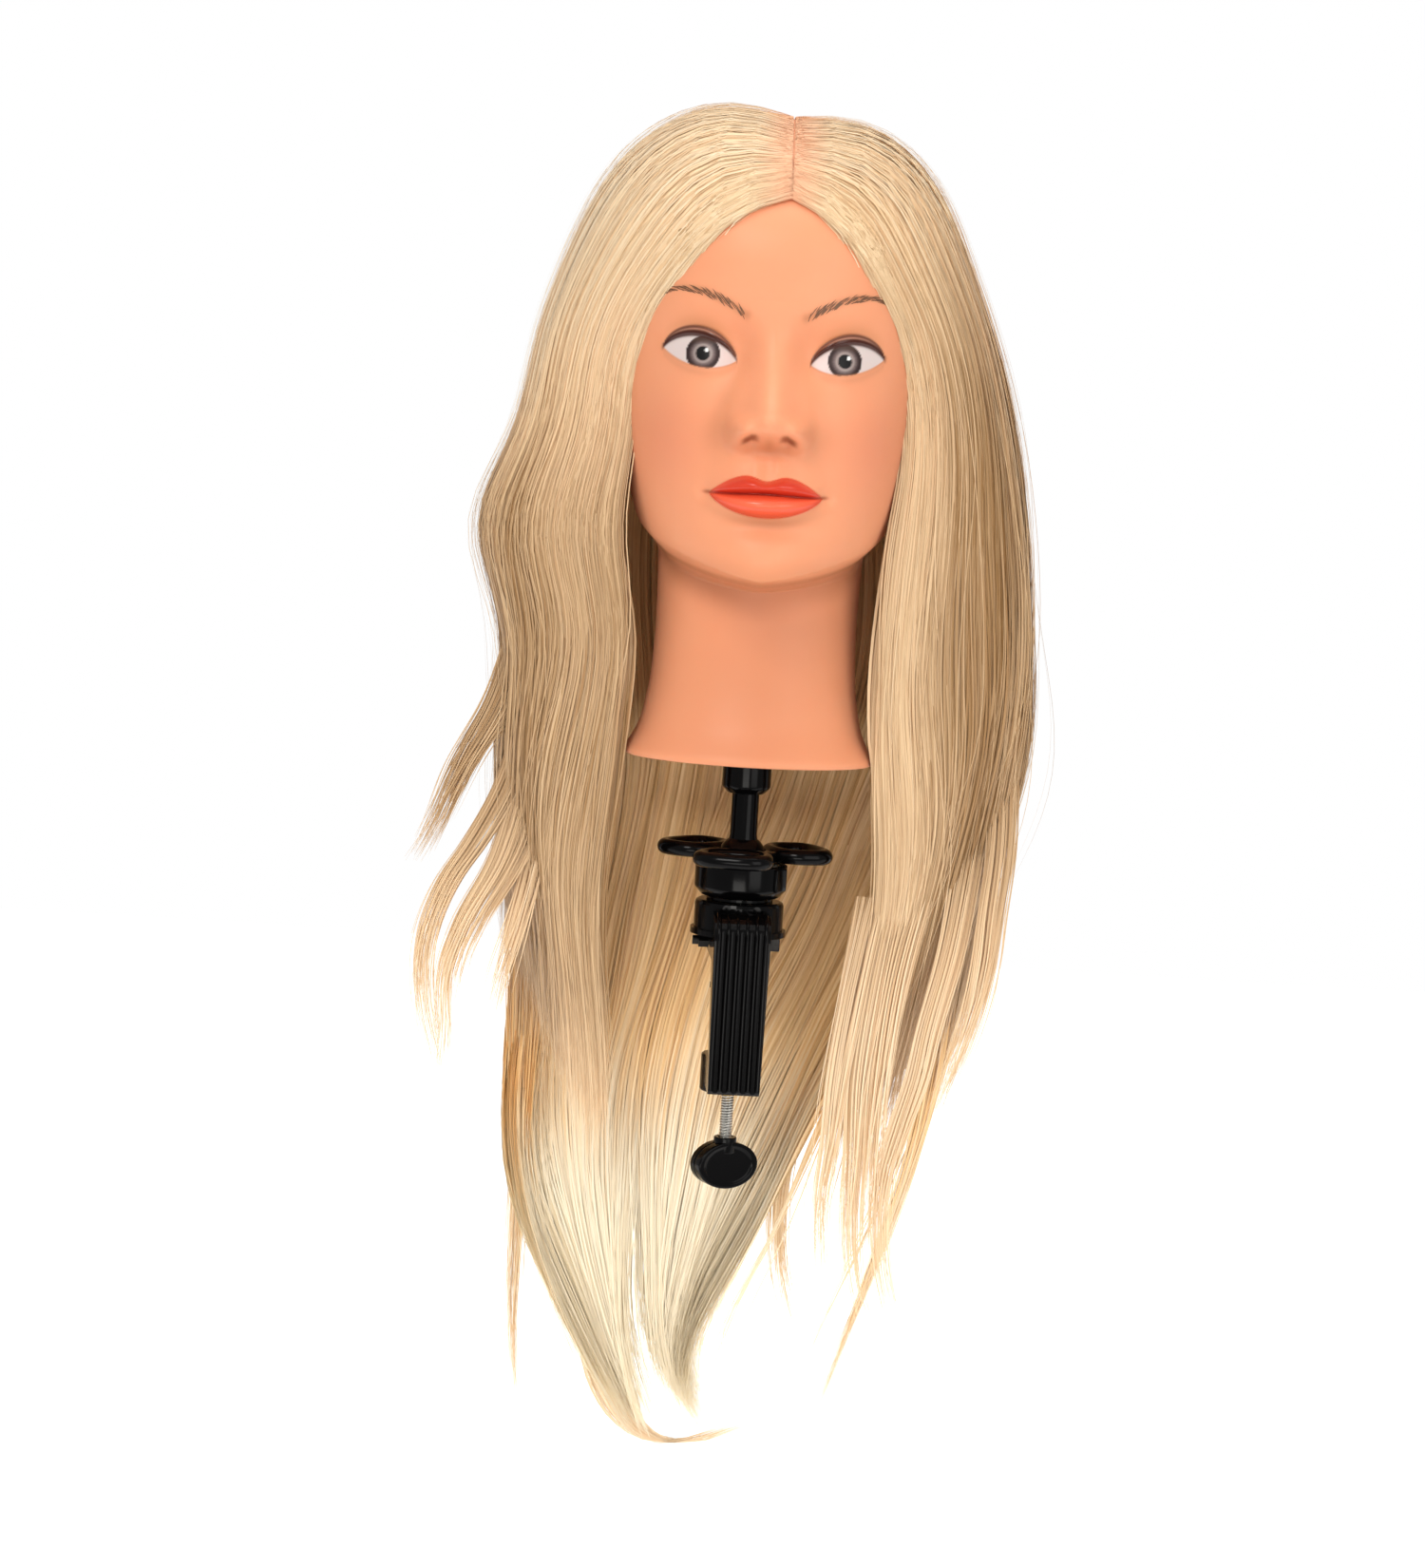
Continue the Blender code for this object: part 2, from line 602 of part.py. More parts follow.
def make_clamp_frame(collection, cutters):
    """One moulding: the C outline, with the round swivel block, the flange and the screw boss."""
    lower_top = -THROAT_HEIGHT
    lower_bottom = -THROAT_HEIGHT - LOWER_JAW_THICK
    outline = [(JAW_BACK_Y, JAW_THICK), (JAW_BACK_Y, 0.0)]
    corner_y = SPINE_BACK_Y + FILLET
    outline += arc(corner_y, -FILLET, FILLET, 90, 180, 6)
    outline += arc(corner_y, lower_top + FILLET, FILLET, 180, 270, 6)
    outline += [(LOWER_JAW_END_Y, lower_top), (LOWER_JAW_END_Y, lower_bottom),
                (SPINE_FRONT_Y + FOOT_CHAMFER, lower_bottom), (SPINE_FRONT_Y, lower_bottom + FOOT_CHAMFER)]
    outline += arc(SPINE_FRONT_Y + SPINE_TOP_ROUND, SPINE_TOP_Z - SPINE_TOP_ROUND, SPINE_TOP_ROUND,
                   180, 90, 6)
    outline += [(SPINE_TOP_BACK_Y, SPINE_TOP_Z), (SPINE_TOP_BACK_Y, JAW_THICK)]

    curve = bpy.data.curves.new("clamp_outline", "CURVE")
    curve.dimensions = "2D"
    curve.fill_mode = "BOTH"
    curve.extrude = FRAME_WIDTH / 2
    spline = curve.splines.new("POLY")
    spline.points.add(len(outline) - 1)
    for point, (y, z) in zip(spline.points, outline):
        point.co = (y, z, 0.0, 1.0)
    spline.use_cyclic_u = True
    guide = bpy.data.objects.new("clamp_outline", curve)
    collection.objects.link(guide)
    guide.matrix_world = Matrix(((0, 0, 1, 0), (1, 0, 0, 0), (0, 1, 0, 0), (0, 0, 0, 1)))
    bpy.context.view_layer.update()
    evaluated = guide.evaluated_get(bpy.context.evaluated_depsgraph_get())
    mesh = bpy.data.meshes.new_from_object(evaluated)
    mesh.transform(guide.matrix_world)
    bpy.data.objects.remove(guide, do_unlink=True)
    bm = bmesh.new()
    bm.from_mesh(mesh)
    bmesh.ops.remove_doubles(bm, verts=bm.verts, dist=0.00001)
    for vert in bm.verts:
        drop = ease(-vert.co.z, -JAW_THICK, -lower_bottom)
        vert.co.x -= math.copysign(SPINE_TAPER * drop, vert.co.x)
    frame = object_from_bmesh("clamp_frame", bm, collection)

    bevel(frame, SPINE_EDGE_ROUND)
    flange = cylinder("flange", cutters, FLANGE_R, JAW_THICK - 0.0002, FLANGE_TOP_Z, sides=48)
    combine(frame, flange, "UNION")
    block = cylinder("swivel_block", cutters, BLOCK_R, JAW_THICK, BLOCK_TOP_Z, sides=48)
    combine(frame, bevel(block, BLOCK_EDGE_ROUND), "UNION")
    boss = cylinder("screw_boss", cutters, BOSS_R, BOSS_BOTTOM_Z, lower_top - GAP, sides=40)
    combine(frame, bevel(boss, BOSS_EDGE_ROUND), "UNION")
    for index, x in enumerate(FLUTE_X):
        groove = cylinder(f"flute_{index + 1}", cutters, FLUTE_R, lower_bottom - FLUTE_R, SPINE_TOP_Z,
                          x=x, y=SPINE_FRONT_Y - FLUTE_STANDOFF, sides=12)
        combine(frame, groove, "DIFFERENCE")
    for side in (-1, 1):
        bm = bmesh.new()
        bmesh.ops.create_cone(bm, cap_ends=True, segments=16, radius1=DIMPLE_R, radius2=DIMPLE_R,
                              depth=DIMPLE_LENGTH)
        bmesh.ops.rotate(bm, verts=bm.verts, matrix=Matrix.Rotation(math.pi / 2, 3, "X"))
        bmesh.ops.translate(bm, verts=bm.verts, vec=(side * DIMPLE_X, DIMPLE_MIDDLE_Y, DIMPLE_Z))
        name = "dimple_left" if side < 0 else "dimple_right"
        combine(frame, object_from_bmesh(name, bm, cutters), "DIFFERENCE")
    screw_room = cylinder("screw_room", cutters, SCREW_R + GAP, 2 * BOSS_BOTTOM_Z, lower_top + BOSS_R)
    combine(frame, screw_room, "DIFFERENCE")
    nut_room = cylinder("nut_room", cutters, NUT_R + GAP, 2 * BOSS_BOTTOM_Z,
                        BOSS_BOTTOM_Z + NUT_LENGTH + 2 * GAP)
    combine(frame, nut_room, "DIFFERENCE")
    bolt_room = cylinder("swivel_bolt_room", cutters, SWIVEL_BOLT_R + GAP, SWIVEL_BOLT_BOTTOM_Z - GAP,
                         COLLAR_TOP_Z, sides=24)
    combine(frame, bolt_room, "DIFFERENCE")
    cross_room = cross_cylinder("cross_bolt_room", cutters, BOLT_R + GAP, -FRAME_WIDTH, FRAME_WIDTH,
                                0.0, BOLT_Z)
    combine(frame, cross_room, "DIFFERENCE")
    return frame


def make_cross_bolt(collection, cutters):
    side = FRAME_WIDTH / 2 + GAP
    shaft = cross_cylinder("cross_bolt", collection, BOLT_R, -side - BOLT_END, side + BOLT_R, 0.0, BOLT_Z)
    head = box("cross_bolt_head", cutters, (side, -BOLT_HEAD_HALF, BOLT_Z - BOLT_HEAD_HALF),
               (side + BOLT_HEAD_THICK, BOLT_HEAD_HALF, BOLT_Z + BOLT_HEAD_HALF))
    combine(shaft, bevel(head, SMALL_CHAMFER), "UNION")
    return shaft


def make_cross_nut(collection, cutters):
    side = FRAME_WIDTH / 2 + GAP
    nut = cross_cylinder("cross_nut", collection, CROSS_NUT_R, -side - CROSS_NUT_THICK, -side, 0.0, BOLT_Z,
                         sides=6)
    room = cross_cylinder("cross_nut_room", cutters, BOLT_R + GAP, -FRAME_WIDTH, 0.0, 0.0, BOLT_Z)
    combine(nut, room, "DIFFERENCE")
    return nut


def make_swivel_washer(collection):
    inner = SWIVEL_BOLT_R + GAP
    bottom = BLOCK_TOP_Z + GAP
    profile = ((WASHER_R, WASHER_TOP_Z), (WASHER_R, bottom), (inner, bottom), (inner, WASHER_TOP_Z))
    return turned("swivel_washer", collection, profile, 40)


def make_swivel_bolt(collection):
    head_bottom = COLLAR_FLOOR_Z + GAP
    head_top = head_bottom + SWIVEL_HEAD_THICK
    foot = SWIVEL_BOLT_BOTTOM_Z
    profile = ((0.0, head_top), (SWIVEL_HEAD_R, head_top), (SWIVEL_HEAD_R, head_bottom),
               (SWIVEL_BOLT_R, head_bottom), (SWIVEL_BOLT_R, foot), (0.0, foot))
    return turned("swivel_bolt", collection, profile, 24)


def make_jaw_nut(collection):
    bottom = BOSS_BOTTOM_Z
    inner = SCREW_R + GAP
    profile = ((NUT_R, bottom + NUT_LENGTH), (NUT_R, bottom), (inner, bottom), (inner, bottom + NUT_LENGTH))
    return turned("jaw_nut", collection, profile, 24)


def make_pressure_pad(collection):
    bottom = PAD_TOP_Z - PAD_THICK
    bore = SCREW_R + GAP
    profile = ((0.0, PAD_TOP_Z), (PAD_R, PAD_TOP_Z), (PAD_R, PAD_TOP_Z - PAD_RIM), (PAD_NECK_R, bottom),
               (bore, bottom), (bore, SCREW_TOP_Z + GAP), (0.0, SCREW_TOP_Z + GAP))
    return turned("pressure_pad", collection, profile, 40)


def make_pad_facing(collection):
    return cylinder("pad_facing", collection, PAD_R - GAP, PAD_TOP_Z + GAP,
                    PAD_TOP_Z + GAP + FACING_THICK, sides=40)


def make_clamp_screw(collection):
    profile = ((0.0, SCREW_TOP_Z), (SCREW_R - SMALL_CHAMFER, SCREW_TOP_Z),
               (SCREW_R, SCREW_TOP_Z - SMALL_CHAMFER), (SCREW_R, SCREW_END_Z), (0.0, SCREW_END_Z))
    return turned("clamp_screw", collection, profile, 24)


def make_thumb_knob(collection, cutters):
    bm = bmesh.new()
    bmesh.ops.create_cone(bm, cap_ends=True, segments=40, radius1=0.5, radius2=0.5, depth=KNOB_THICK)
    bmesh.ops.scale(bm, verts=bm.verts, vec=(KNOB_WIDTH, KNOB_HEIGHT, 1.0))
    bmesh.ops.rotate(bm, verts=bm.verts, matrix=Matrix.Rotation(math.pi / 2, 3, "X"))
    bmesh.ops.rotate(bm, verts=bm.verts, matrix=Matrix.Rotation(KNOB_TURN, 3, "Z"))
    bmesh.ops.translate(bm, verts=bm.verts, vec=(0, 0, KNOB_Z))
    knob = bevel(object_from_bmesh("thumb_knob", bm, collection), KNOB_EDGE_ROUND, 3)
    hub = cylinder("knob_hub", cutters, KNOB_HUB_R, KNOB_HUB_BOTTOM_Z, KNOB_HUB_TOP_Z, sides=24)
    combine(knob, bevel(hub, SMALL_CHAMFER), "UNION")
    room = cylinder("knob_room", cutters, SCREW_R + GAP, SCREW_END_Z - GAP, KNOB_HUB_TOP_Z + GAP, sides=24)
    combine(knob, room, "DIFFERENCE")
    return knob


def hair_outer(angle, z):
    """The outside of the hair, round the head and down to the neck."""
    half_width, back = at_height(HAIR_STATIONS, z)
    front = HAIR_FRONT
    if z > HAIR_CAP_Z:
        t = (z - HAIR_CAP_Z) / (HAIR_TOP_Z - HAIR_CAP_Z)
        dome = math.sqrt(max(0.0, 1 - t * t))
        half_width, back, front = half_width * dome, back * dome, front * dome
    return oval(angle, half_width, front, back, NECK_ROUNDNESS)


def slab(name, collection, rows, angles, inner, outer):
    """A closed curved slab between an inner and an outer surface, over rows and angles."""
    bm = bmesh.new()
    sheets = []
    for surface in (inner, outer):
        grid = []
        for z in rows:
            grid.append([bm.verts.new((*surface(angle, z), z)) for angle in angles])
        sheets.append(grid)
    near, far = sheets
    for r in range(len(rows) - 1):
        for c in range(len(angles) - 1):
            bm.faces.new((near[r][c], near[r][c + 1], near[r + 1][c + 1], near[r + 1][c]))
            bm.faces.new((far[r][c], far[r + 1][c], far[r + 1][c + 1], far[r][c + 1]))
    for c in range(len(angles) - 1):
        for r in (0, len(rows) - 1):
            bm.faces.new((near[r][c], far[r][c], far[r][c + 1], near[r][c + 1]))
    for r in range(len(rows) - 1):
        for c in (0, len(angles) - 1):
            bm.faces.new((near[r][c], near[r + 1][c], far[r + 1][c], far[r][c]))
    return object_from_bmesh(name, bm, collection)


def spaced(low, high, count):
    return [low + (high - low) * i / count for i in range(count + 1)]


def beside_head(angle, z):
    """The inside of the side hair: just off the skin, and clear of the neck below the jaw."""
    point = head_point(angle, z)
    size = math.hypot(point.x, point.y)
    grow = (size + HAIR_CLEAR) / size
    x, y = point.x * grow, point.y * grow
    if abs(x) < SIDE_INNER_X and z < SIDE_WIDEN_Z[0]:
        wide = ease(z, *SIDE_WIDEN_Z)
        x += math.copysign((SIDE_INNER_X - abs(x)) * wide, x)
    return x, y


def behind_head(angle, z):
    """The inside of the back hair, which hangs clear behind the neck."""
    point = head_point(angle, z)
    size = math.hypot(point.x, point.y)
    grow = (size + HAIR_CLEAR) / size
    hang_x, hang_y = oval(angle, *BACK_HANG, NECK_ROUNDNESS)
    wide = ease(z, *BACK_WIDEN_Z)
    return (point.x * grow * (1 - wide) + hang_x * wide, point.y * grow * (1 - wide) + hang_y * wide)


def make_side_hair(name, collection, side):
    rows = spaced(SIDE_BOTTOM_Z, HAIR_CAP_Z - GAP, 12)
    angles = [math.radians(side * a) for a in spaced(SIDE_FRONT_ANGLE, SIDE_BACK_ANGLE, 7)]
    return slab(name, collection, rows, angles, beside_head, hair_outer)


def make_back_hair(collection):
    rows = spaced(BACK_BOTTOM_Z, HAIR_CAP_Z - GAP, 12)
    angles = [math.radians(a) for a in spaced(BACK_EDGE_ANGLE, 360 - BACK_EDGE_ANGLE, 11)]
    return slab("hair_back", collection, rows, angles, behind_head, hair_outer)


def make_hair_cap(collection, cutters):
    """The hair over the crown: a dome hollowed out to fit over the skull."""
    bm = bmesh.new()
    rings = []
    for i in range(CAP_ROWS):
        z = HAIR_CAP_Z + (HAIR_TOP_Z - HAIR_CAP_Z) * math.sin(math.pi / 2 * i / CAP_ROWS)
        ring = []
        for angle in spaced(0.0, 2 * math.pi, CAP_SPOKES)[:-1]:
            ring.append(bm.verts.new((*hair_outer(angle, z), z)))
        rings.append(ring)
    crown = bm.verts.new((0, 0, HAIR_TOP_Z))
    for low, high in zip(rings, rings[1:]):
        for i in range(CAP_SPOKES):
            bm.faces.new((low[i], low[(i + 1) % CAP_SPOKES], high[(i + 1) % CAP_SPOKES], high[i]))
    for i in range(CAP_SPOKES):
        bm.faces.new((rings[-1][i], rings[-1][(i + 1) % CAP_SPOKES], crown))
    bm.faces.new(rings[0])
    cap = object_from_bmesh("hair_cap", bm, collection)
    skull = bmesh.new()
    rows = [z for z in head_rows(NECK_Z, HEAD_RINGS) if z > TEMPLE_Z - SKULL_ROOM_BELOW]
    rim = head_skin(skull, rows, -HAIR_CLEAR)
    skull.faces.new(rim)
    combine(cap, object_from_bmesh("skull_room", skull, cutters), "DIFFERENCE")
    return cap


def make_lock(name, collection, sections):
    """A hanging lock: smooth oval sections joined down its length."""
    bm = bmesh.new()
    rings = []
    for z, x, y, half_width, half_depth in sections:
        ring = []
        for i in range(LOCK_SIDES):
            angle = 2 * math.pi * i / LOCK_SIDES
            ring.append(bm.verts.new((x + half_width * math.cos(angle), y + half_depth * math.sin(angle), z)))
        rings.append(ring)
    for low, high in zip(rings, rings[1:]):
        for i in range(LOCK_SIDES):
            j = (i + 1) % LOCK_SIDES
            bm.faces.new((low[i], low[j], high[j], high[i]))
    bm.faces.new(rings[0])
    bm.faces.new(rings[-1])
    return object_from_bmesh(name, bm, collection)


def empty(name, collection, place, turn=0.0):
    holder = bpy.data.objects.new(name, None)
    holder.location = place
    holder.rotation_euler = (0, 0, turn)
    collection.objects.link(holder)
    return holder


def parent_to(pieces, holder):
    bpy.context.view_layer.update()
    for piece in pieces:
        piece.parent = holder
        piece.matrix_parent_inverse = Matrix.Translation(holder.location).inverted()


def main():
    clear_scene()
    model = new_collection("mannequin_training_head")
    cutters = new_collection("cutters")
    clamp_cutters = new_collection("clamp_cutters")

    clamp_axis = empty("clamp_axis", model, (0, 0, 0), CLAMP_YAW)
    swivel_axis = empty("swivel_axis", model, (0, 0, WASHER_TOP_Z))
    wheel_axis = empty("handwheel_axis", model, (0, 0, WHEEL_Z))
    tilt_axis = empty("tilt_axis", model, (0, 0, BALL_Z))
    fall_axis = empty("hair_fall_axis", model, (0, 0, BALL_Z))
    screw_axis = empty("screw_axis", model, (0, 0, 0))

    clamp = [finish_piece(make_clamp_frame(model, clamp_cutters), BLACK),
             finish_piece(make_cross_bolt(model, clamp_cutters), BLACK_STEEL),
             finish_piece(make_cross_nut(model, clamp_cutters), BLACK_STEEL),
             finish_piece(make_jaw_nut(model), BRASS),
             finish_piece(make_swivel_washer(model), BLACK),
             finish_piece(make_swivel_bolt(model), STEEL)]
    screw = [finish_piece(make_clamp_screw(model), STEEL),
             finish_piece(make_thumb_knob(model, cutters), BLACK),
             finish_piece(make_pressure_pad(model), BLACK),
             finish_piece(make_pad_facing(model), RUBBER)]
    swivel = [finish_piece(make_collar(model, cutters), BLACK),
              finish_piece(make_ball_seat(model), NYLON)]
    wheel = [finish_piece(make_handwheel(model, cutters), BLACK)]
    pin_half = PLUG_R - SMALL_CHAMFER
    pin = cross_cylinder("sleeve_pin", model, PIN_R, -pin_half, pin_half, 0.0, PIN_Z)
    head = [finish_piece(make_ball_post(model, cutters), BLACK),
            finish_piece(make_plug_sleeve(model, cutters), BLACK),
            finish_piece(pin, STEEL),
            finish_piece(make_neck_socket(model), NYLON),
            finish_piece(make_neck_plate(model, cutters), VINYL),
            finish_piece(make_foam_core(model, cutters), FOAM),
            finish_piece(make_head_shell(model), VINYL, angle=60),
            finish_piece(make_hair_cap(model, cutters), HAIR, angle=60),
            finish_piece(make_side_hair("hair_side_right", model, 1), HAIR),
            finish_piece(make_side_hair("hair_side_left", model, -1), HAIR),
            finish_piece(make_back_hair(model), HAIR)]
    falls = [finish_piece(make_lock(name, model, sections), HAIR) for name, sections in LOCKS.items()]

    parent_to(clamp, clamp_axis)
    parent_to(clamp_cutters.objects, clamp_axis)
    parent_to(screw, screw_axis)
    parent_to(swivel, swivel_axis)
    parent_to(wheel, wheel_axis)
    parent_to(head, tilt_axis)
    parent_to(falls, fall_axis)
    bpy.context.view_layer.update()


main()
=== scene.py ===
"""Looks of the salon training head: painted vinyl face, parted blonde hair and black table clamp.

Lengths are metres, +Z is up and the face looks along -Y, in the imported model's own frame.
"""
import math

import bmesh
import bpy
import numpy as np
from mathutils import Matrix, Vector
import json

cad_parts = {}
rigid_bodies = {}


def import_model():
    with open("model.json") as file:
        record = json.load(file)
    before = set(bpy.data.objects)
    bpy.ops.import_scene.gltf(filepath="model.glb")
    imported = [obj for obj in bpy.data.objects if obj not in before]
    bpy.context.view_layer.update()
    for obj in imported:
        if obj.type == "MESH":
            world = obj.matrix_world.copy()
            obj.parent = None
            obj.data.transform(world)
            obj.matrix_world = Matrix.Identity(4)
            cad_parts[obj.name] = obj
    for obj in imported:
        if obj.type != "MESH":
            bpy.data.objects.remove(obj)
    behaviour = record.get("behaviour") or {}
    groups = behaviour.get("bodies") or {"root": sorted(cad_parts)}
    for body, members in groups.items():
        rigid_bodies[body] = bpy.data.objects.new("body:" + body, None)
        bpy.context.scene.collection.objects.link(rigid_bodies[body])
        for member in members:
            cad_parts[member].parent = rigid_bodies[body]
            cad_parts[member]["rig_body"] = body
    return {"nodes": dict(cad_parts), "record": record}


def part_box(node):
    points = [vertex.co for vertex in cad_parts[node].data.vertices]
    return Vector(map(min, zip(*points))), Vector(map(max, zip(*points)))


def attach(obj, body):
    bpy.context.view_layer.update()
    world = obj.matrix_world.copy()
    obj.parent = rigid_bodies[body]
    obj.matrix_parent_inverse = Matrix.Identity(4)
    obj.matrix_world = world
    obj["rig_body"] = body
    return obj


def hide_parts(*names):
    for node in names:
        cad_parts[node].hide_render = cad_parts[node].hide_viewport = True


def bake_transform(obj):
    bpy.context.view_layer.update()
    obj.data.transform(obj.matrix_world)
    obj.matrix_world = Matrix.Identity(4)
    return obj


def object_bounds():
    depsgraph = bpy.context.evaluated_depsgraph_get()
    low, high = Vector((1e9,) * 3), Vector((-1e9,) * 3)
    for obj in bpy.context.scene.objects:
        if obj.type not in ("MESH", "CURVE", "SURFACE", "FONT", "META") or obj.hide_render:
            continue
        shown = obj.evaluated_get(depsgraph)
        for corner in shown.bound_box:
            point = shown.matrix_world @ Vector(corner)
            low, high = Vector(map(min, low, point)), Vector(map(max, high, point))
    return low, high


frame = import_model()
CAD_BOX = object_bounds()
MM = 0.001
RNG = np.random.default_rng(7)

# Heights and reaches read from the frame
SHELL_LOW, SHELL_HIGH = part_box("head_shell")
NECK_Z = SHELL_LOW[2]
CROWN_Z = SHELL_HIGH[2] - 0.001
TEMPLE_Z = 0.315              # the head closes as a dome above this height
BODY = {name: node["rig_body"] for name, node in frame["nodes"].items()}


# ------------------------------------------------------------------ helpers

def smoothstep(value, low, high):
    t = np.clip((value - low) / (high - low), 0.0, 1.0)
    return t * t * (3 - 2 * t)


def bell(value, middle, spread, power=2.0):
    return np.exp(-0.5 * np.abs((value - middle) / spread) ** power)


def hermite(t, step, low, high, low_slope, high_slope):
    """The smooth cubic from low to high, with a given slope at each end."""
    return ((2 * t ** 3 - 3 * t ** 2 + 1) * low + (t ** 3 - 2 * t ** 2 + t) * step * low_slope
            + (3 * t ** 2 - 2 * t ** 3) * high + (t ** 3 - t ** 2) * step * high_slope)


def circle(steps):
    """Evenly spaced angles round one turn."""
    return 2 * np.pi * np.arange(steps) / steps


def unit(vectors, least=1e-9):
    return vectors / np.maximum(np.linalg.norm(vectors, axis=-1, keepdims=True), least)


def turned(points, angle):
    """The points turned about the vertical axis."""
    x = points[..., 0] * math.cos(angle) - points[..., 1] * math.sin(angle)
    y = points[..., 0] * math.sin(angle) + points[..., 1] * math.cos(angle)
    return np.stack([x, y, points[..., 2]], axis=-1)


def soften(paths):
    """Evens out the points along each path, leaving its ends where they are."""
    for _ in range(2):
        paths[:, 1:-1] = 0.25 * paths[:, :-2] + 0.5 * paths[:, 1:-1] + 0.25 * paths[:, 2:]


def mesh_from_grid(name, points, close_columns=False):
    """A quad mesh from points of shape (rows, columns, 3)."""
    rows, columns = points.shape[:2]
    index = np.arange(rows * columns).reshape(rows, columns)
    if close_columns:
        index = np.hstack([index, index[:, :1]])
    quads = np.stack([index[:-1, :-1], index[:-1, 1:], index[1:, 1:], index[1:, :-1]], axis=-1)
    return fast_mesh(name, points.reshape(-1, 3), quads.reshape(-1, 4))


def fast_mesh(name, points, quads):
    mesh = bpy.data.meshes.new(name)
    mesh.vertices.add(len(points))
    mesh.vertices.foreach_set("co", np.ascontiguousarray(points, np.float32).ravel())
    mesh.loops.add(quads.size)
    mesh.loops.foreach_set("vertex_index", np.ascontiguousarray(quads, np.int32).ravel())
    mesh.polygons.add(len(quads))
    mesh.polygons.foreach_set("loop_start", np.arange(0, quads.size, quads.shape[1], dtype=np.int32))
    mesh.update(calc_edges=True)
    mesh.shade_smooth()
    return mesh


def close_ends(mesh, merge=0.0):
    """Fills the open ends of a mesh, after merging points that lie closer than merge."""
    bm = bmesh.new()
    bm.from_mesh(mesh)
    if merge:
        bmesh.ops.remove_doubles(bm, verts=bm.verts, dist=merge)
    bmesh.ops.holes_fill(bm, edges=[e for e in bm.edges if e.is_boundary])
    bmesh.ops.recalc_face_normals(bm, faces=bm.faces)
    bm.to_mesh(mesh)
    bm.free()


def add_object(name, mesh):
    obj = bpy.data.objects.new(name, mesh)
    bpy.context.scene.collection.objects.link(obj)
    return obj


def set_attribute(mesh, name, values, kind="FLOAT"):
    attribute = mesh.attributes.new(name, kind, "POINT")
    key = "value" if kind == "FLOAT" else ("color" if kind == "FLOAT_COLOR" else "vector")
    attribute.data.foreach_set(key, np.ascontiguousarray(values, np.float32).ravel())


def linear(red, green, blue):
    """Scene-linear colour of an sRGB colour given as 0 to 255."""
    out = []
    for channel in (red, green, blue):
        c = channel / 255
        out.append(c / 12.92 if c <= 0.04045 else ((c + 0.055) / 1.055) ** 2.4)
    return (*out, 1.0)


# ------------------------------------------------------------------ materials

class Nodes:
    """A short way to write a node tree."""

    def __init__(self, name):
        self.material = bpy.data.materials.new(name)
        self.material.use_nodes = True
        self.tree = self.material.node_tree
        self.shader = self.tree.nodes["Principled BSDF"]

    def plug(self, socket, value):
        """Links a socket to another node's output, or sets its value."""
        if isinstance(value, bpy.types.NodeSocket):
            self.tree.links.new(value, socket)
        else:
            socket.default_value = value

    def add(self, kind, **settings):
        node = self.tree.nodes.new(kind)
        inputs = settings.pop("inputs", {})
        for key, value in settings.items():
            setattr(node, key, value)
        for key, value in inputs.items():
            self.plug(node.inputs[key], value)
        return node

    def set(self, **values):
        for key, value in values.items():
            self.plug(self.shader.inputs[key.replace("_", " ")], value)

    def attribute(self, name):
        return self.add("ShaderNodeAttribute", attribute_name=name)

    def noise(self, scale, detail=3.0, roughness=0.5, vector=None):
        inputs = {"Scale": scale, "Detail": detail, "Roughness": roughness}
        if vector is None:
            vector = self.add("ShaderNodeTexCoord").outputs["Object"]
        inputs["Vector"] = vector
        return self.add("ShaderNodeTexNoise", inputs=inputs).outputs["Fac"]

    def mix(self, factor, a, b, blend="MIX"):
        node = self.add("ShaderNodeMix", data_type="RGBA", blend_type=blend)
        for index, value in ((0, factor), (6, a), (7, b)):
            self.plug(node.inputs[index], value)
        return node.outputs[2]

    def math(self, operation, a, b=0.0, clamp=False):
        node = self.add("ShaderNodeMath", operation=operation, use_clamp=clamp)
        for index, value in ((0, a), (1, b)):
            self.plug(node.inputs[index], value)
        return node.outputs[0]

    def spread(self, value, low, high):
        node = self.add("ShaderNodeMapRange", inputs={"Value": value, "To Min": low, "To Max": high})
        return node.outputs["Result"]

    def bump(self, height, strength, distance):
        inputs = {"Height": height, "Strength": strength, "Distance": distance}
        node = self.add("ShaderNodeBump", inputs=inputs)
        self.tree.links.new(node.outputs["Normal"], self.shader.inputs["Normal"])


def vinyl_material():
    n = Nodes("painted_vinyl")
    # The paint attribute holds the face's own paint together with painted shade and painted highlights.
    paint_and_shading = n.attribute("paint_and_shading")
    cover = n.attribute("paint_cover")
    gloss = n.attribute("gloss")
    blush = n.attribute("blush")
    mottling = n.noise(28.0, 3.0, 0.6)
    skin = n.mix(mottling, linear(241, 158, 116), linear(248, 167, 124))
    warm = n.mix(blush.outputs["Fac"], skin, linear(232, 140, 104))
    colour = n.mix(cover.outputs["Fac"], warm, paint_and_shading.outputs["Color"])
    rough = n.math("SUBTRACT", n.spread(n.noise(300.0, 2.0), 0.40, 0.52),
                   n.math("MULTIPLY", gloss.outputs["Fac"], 0.30))
    n.set(Base_Color=colour, Roughness=rough, Specular_IOR_Level=0.35)
    n.set(Subsurface_Weight=0.12, Subsurface_Radius=(1.0, 0.35, 0.18), Subsurface_Scale=0.004)
    n.bump(n.noise(900.0, 2.0), 0.10, 0.0002)
    return n.material


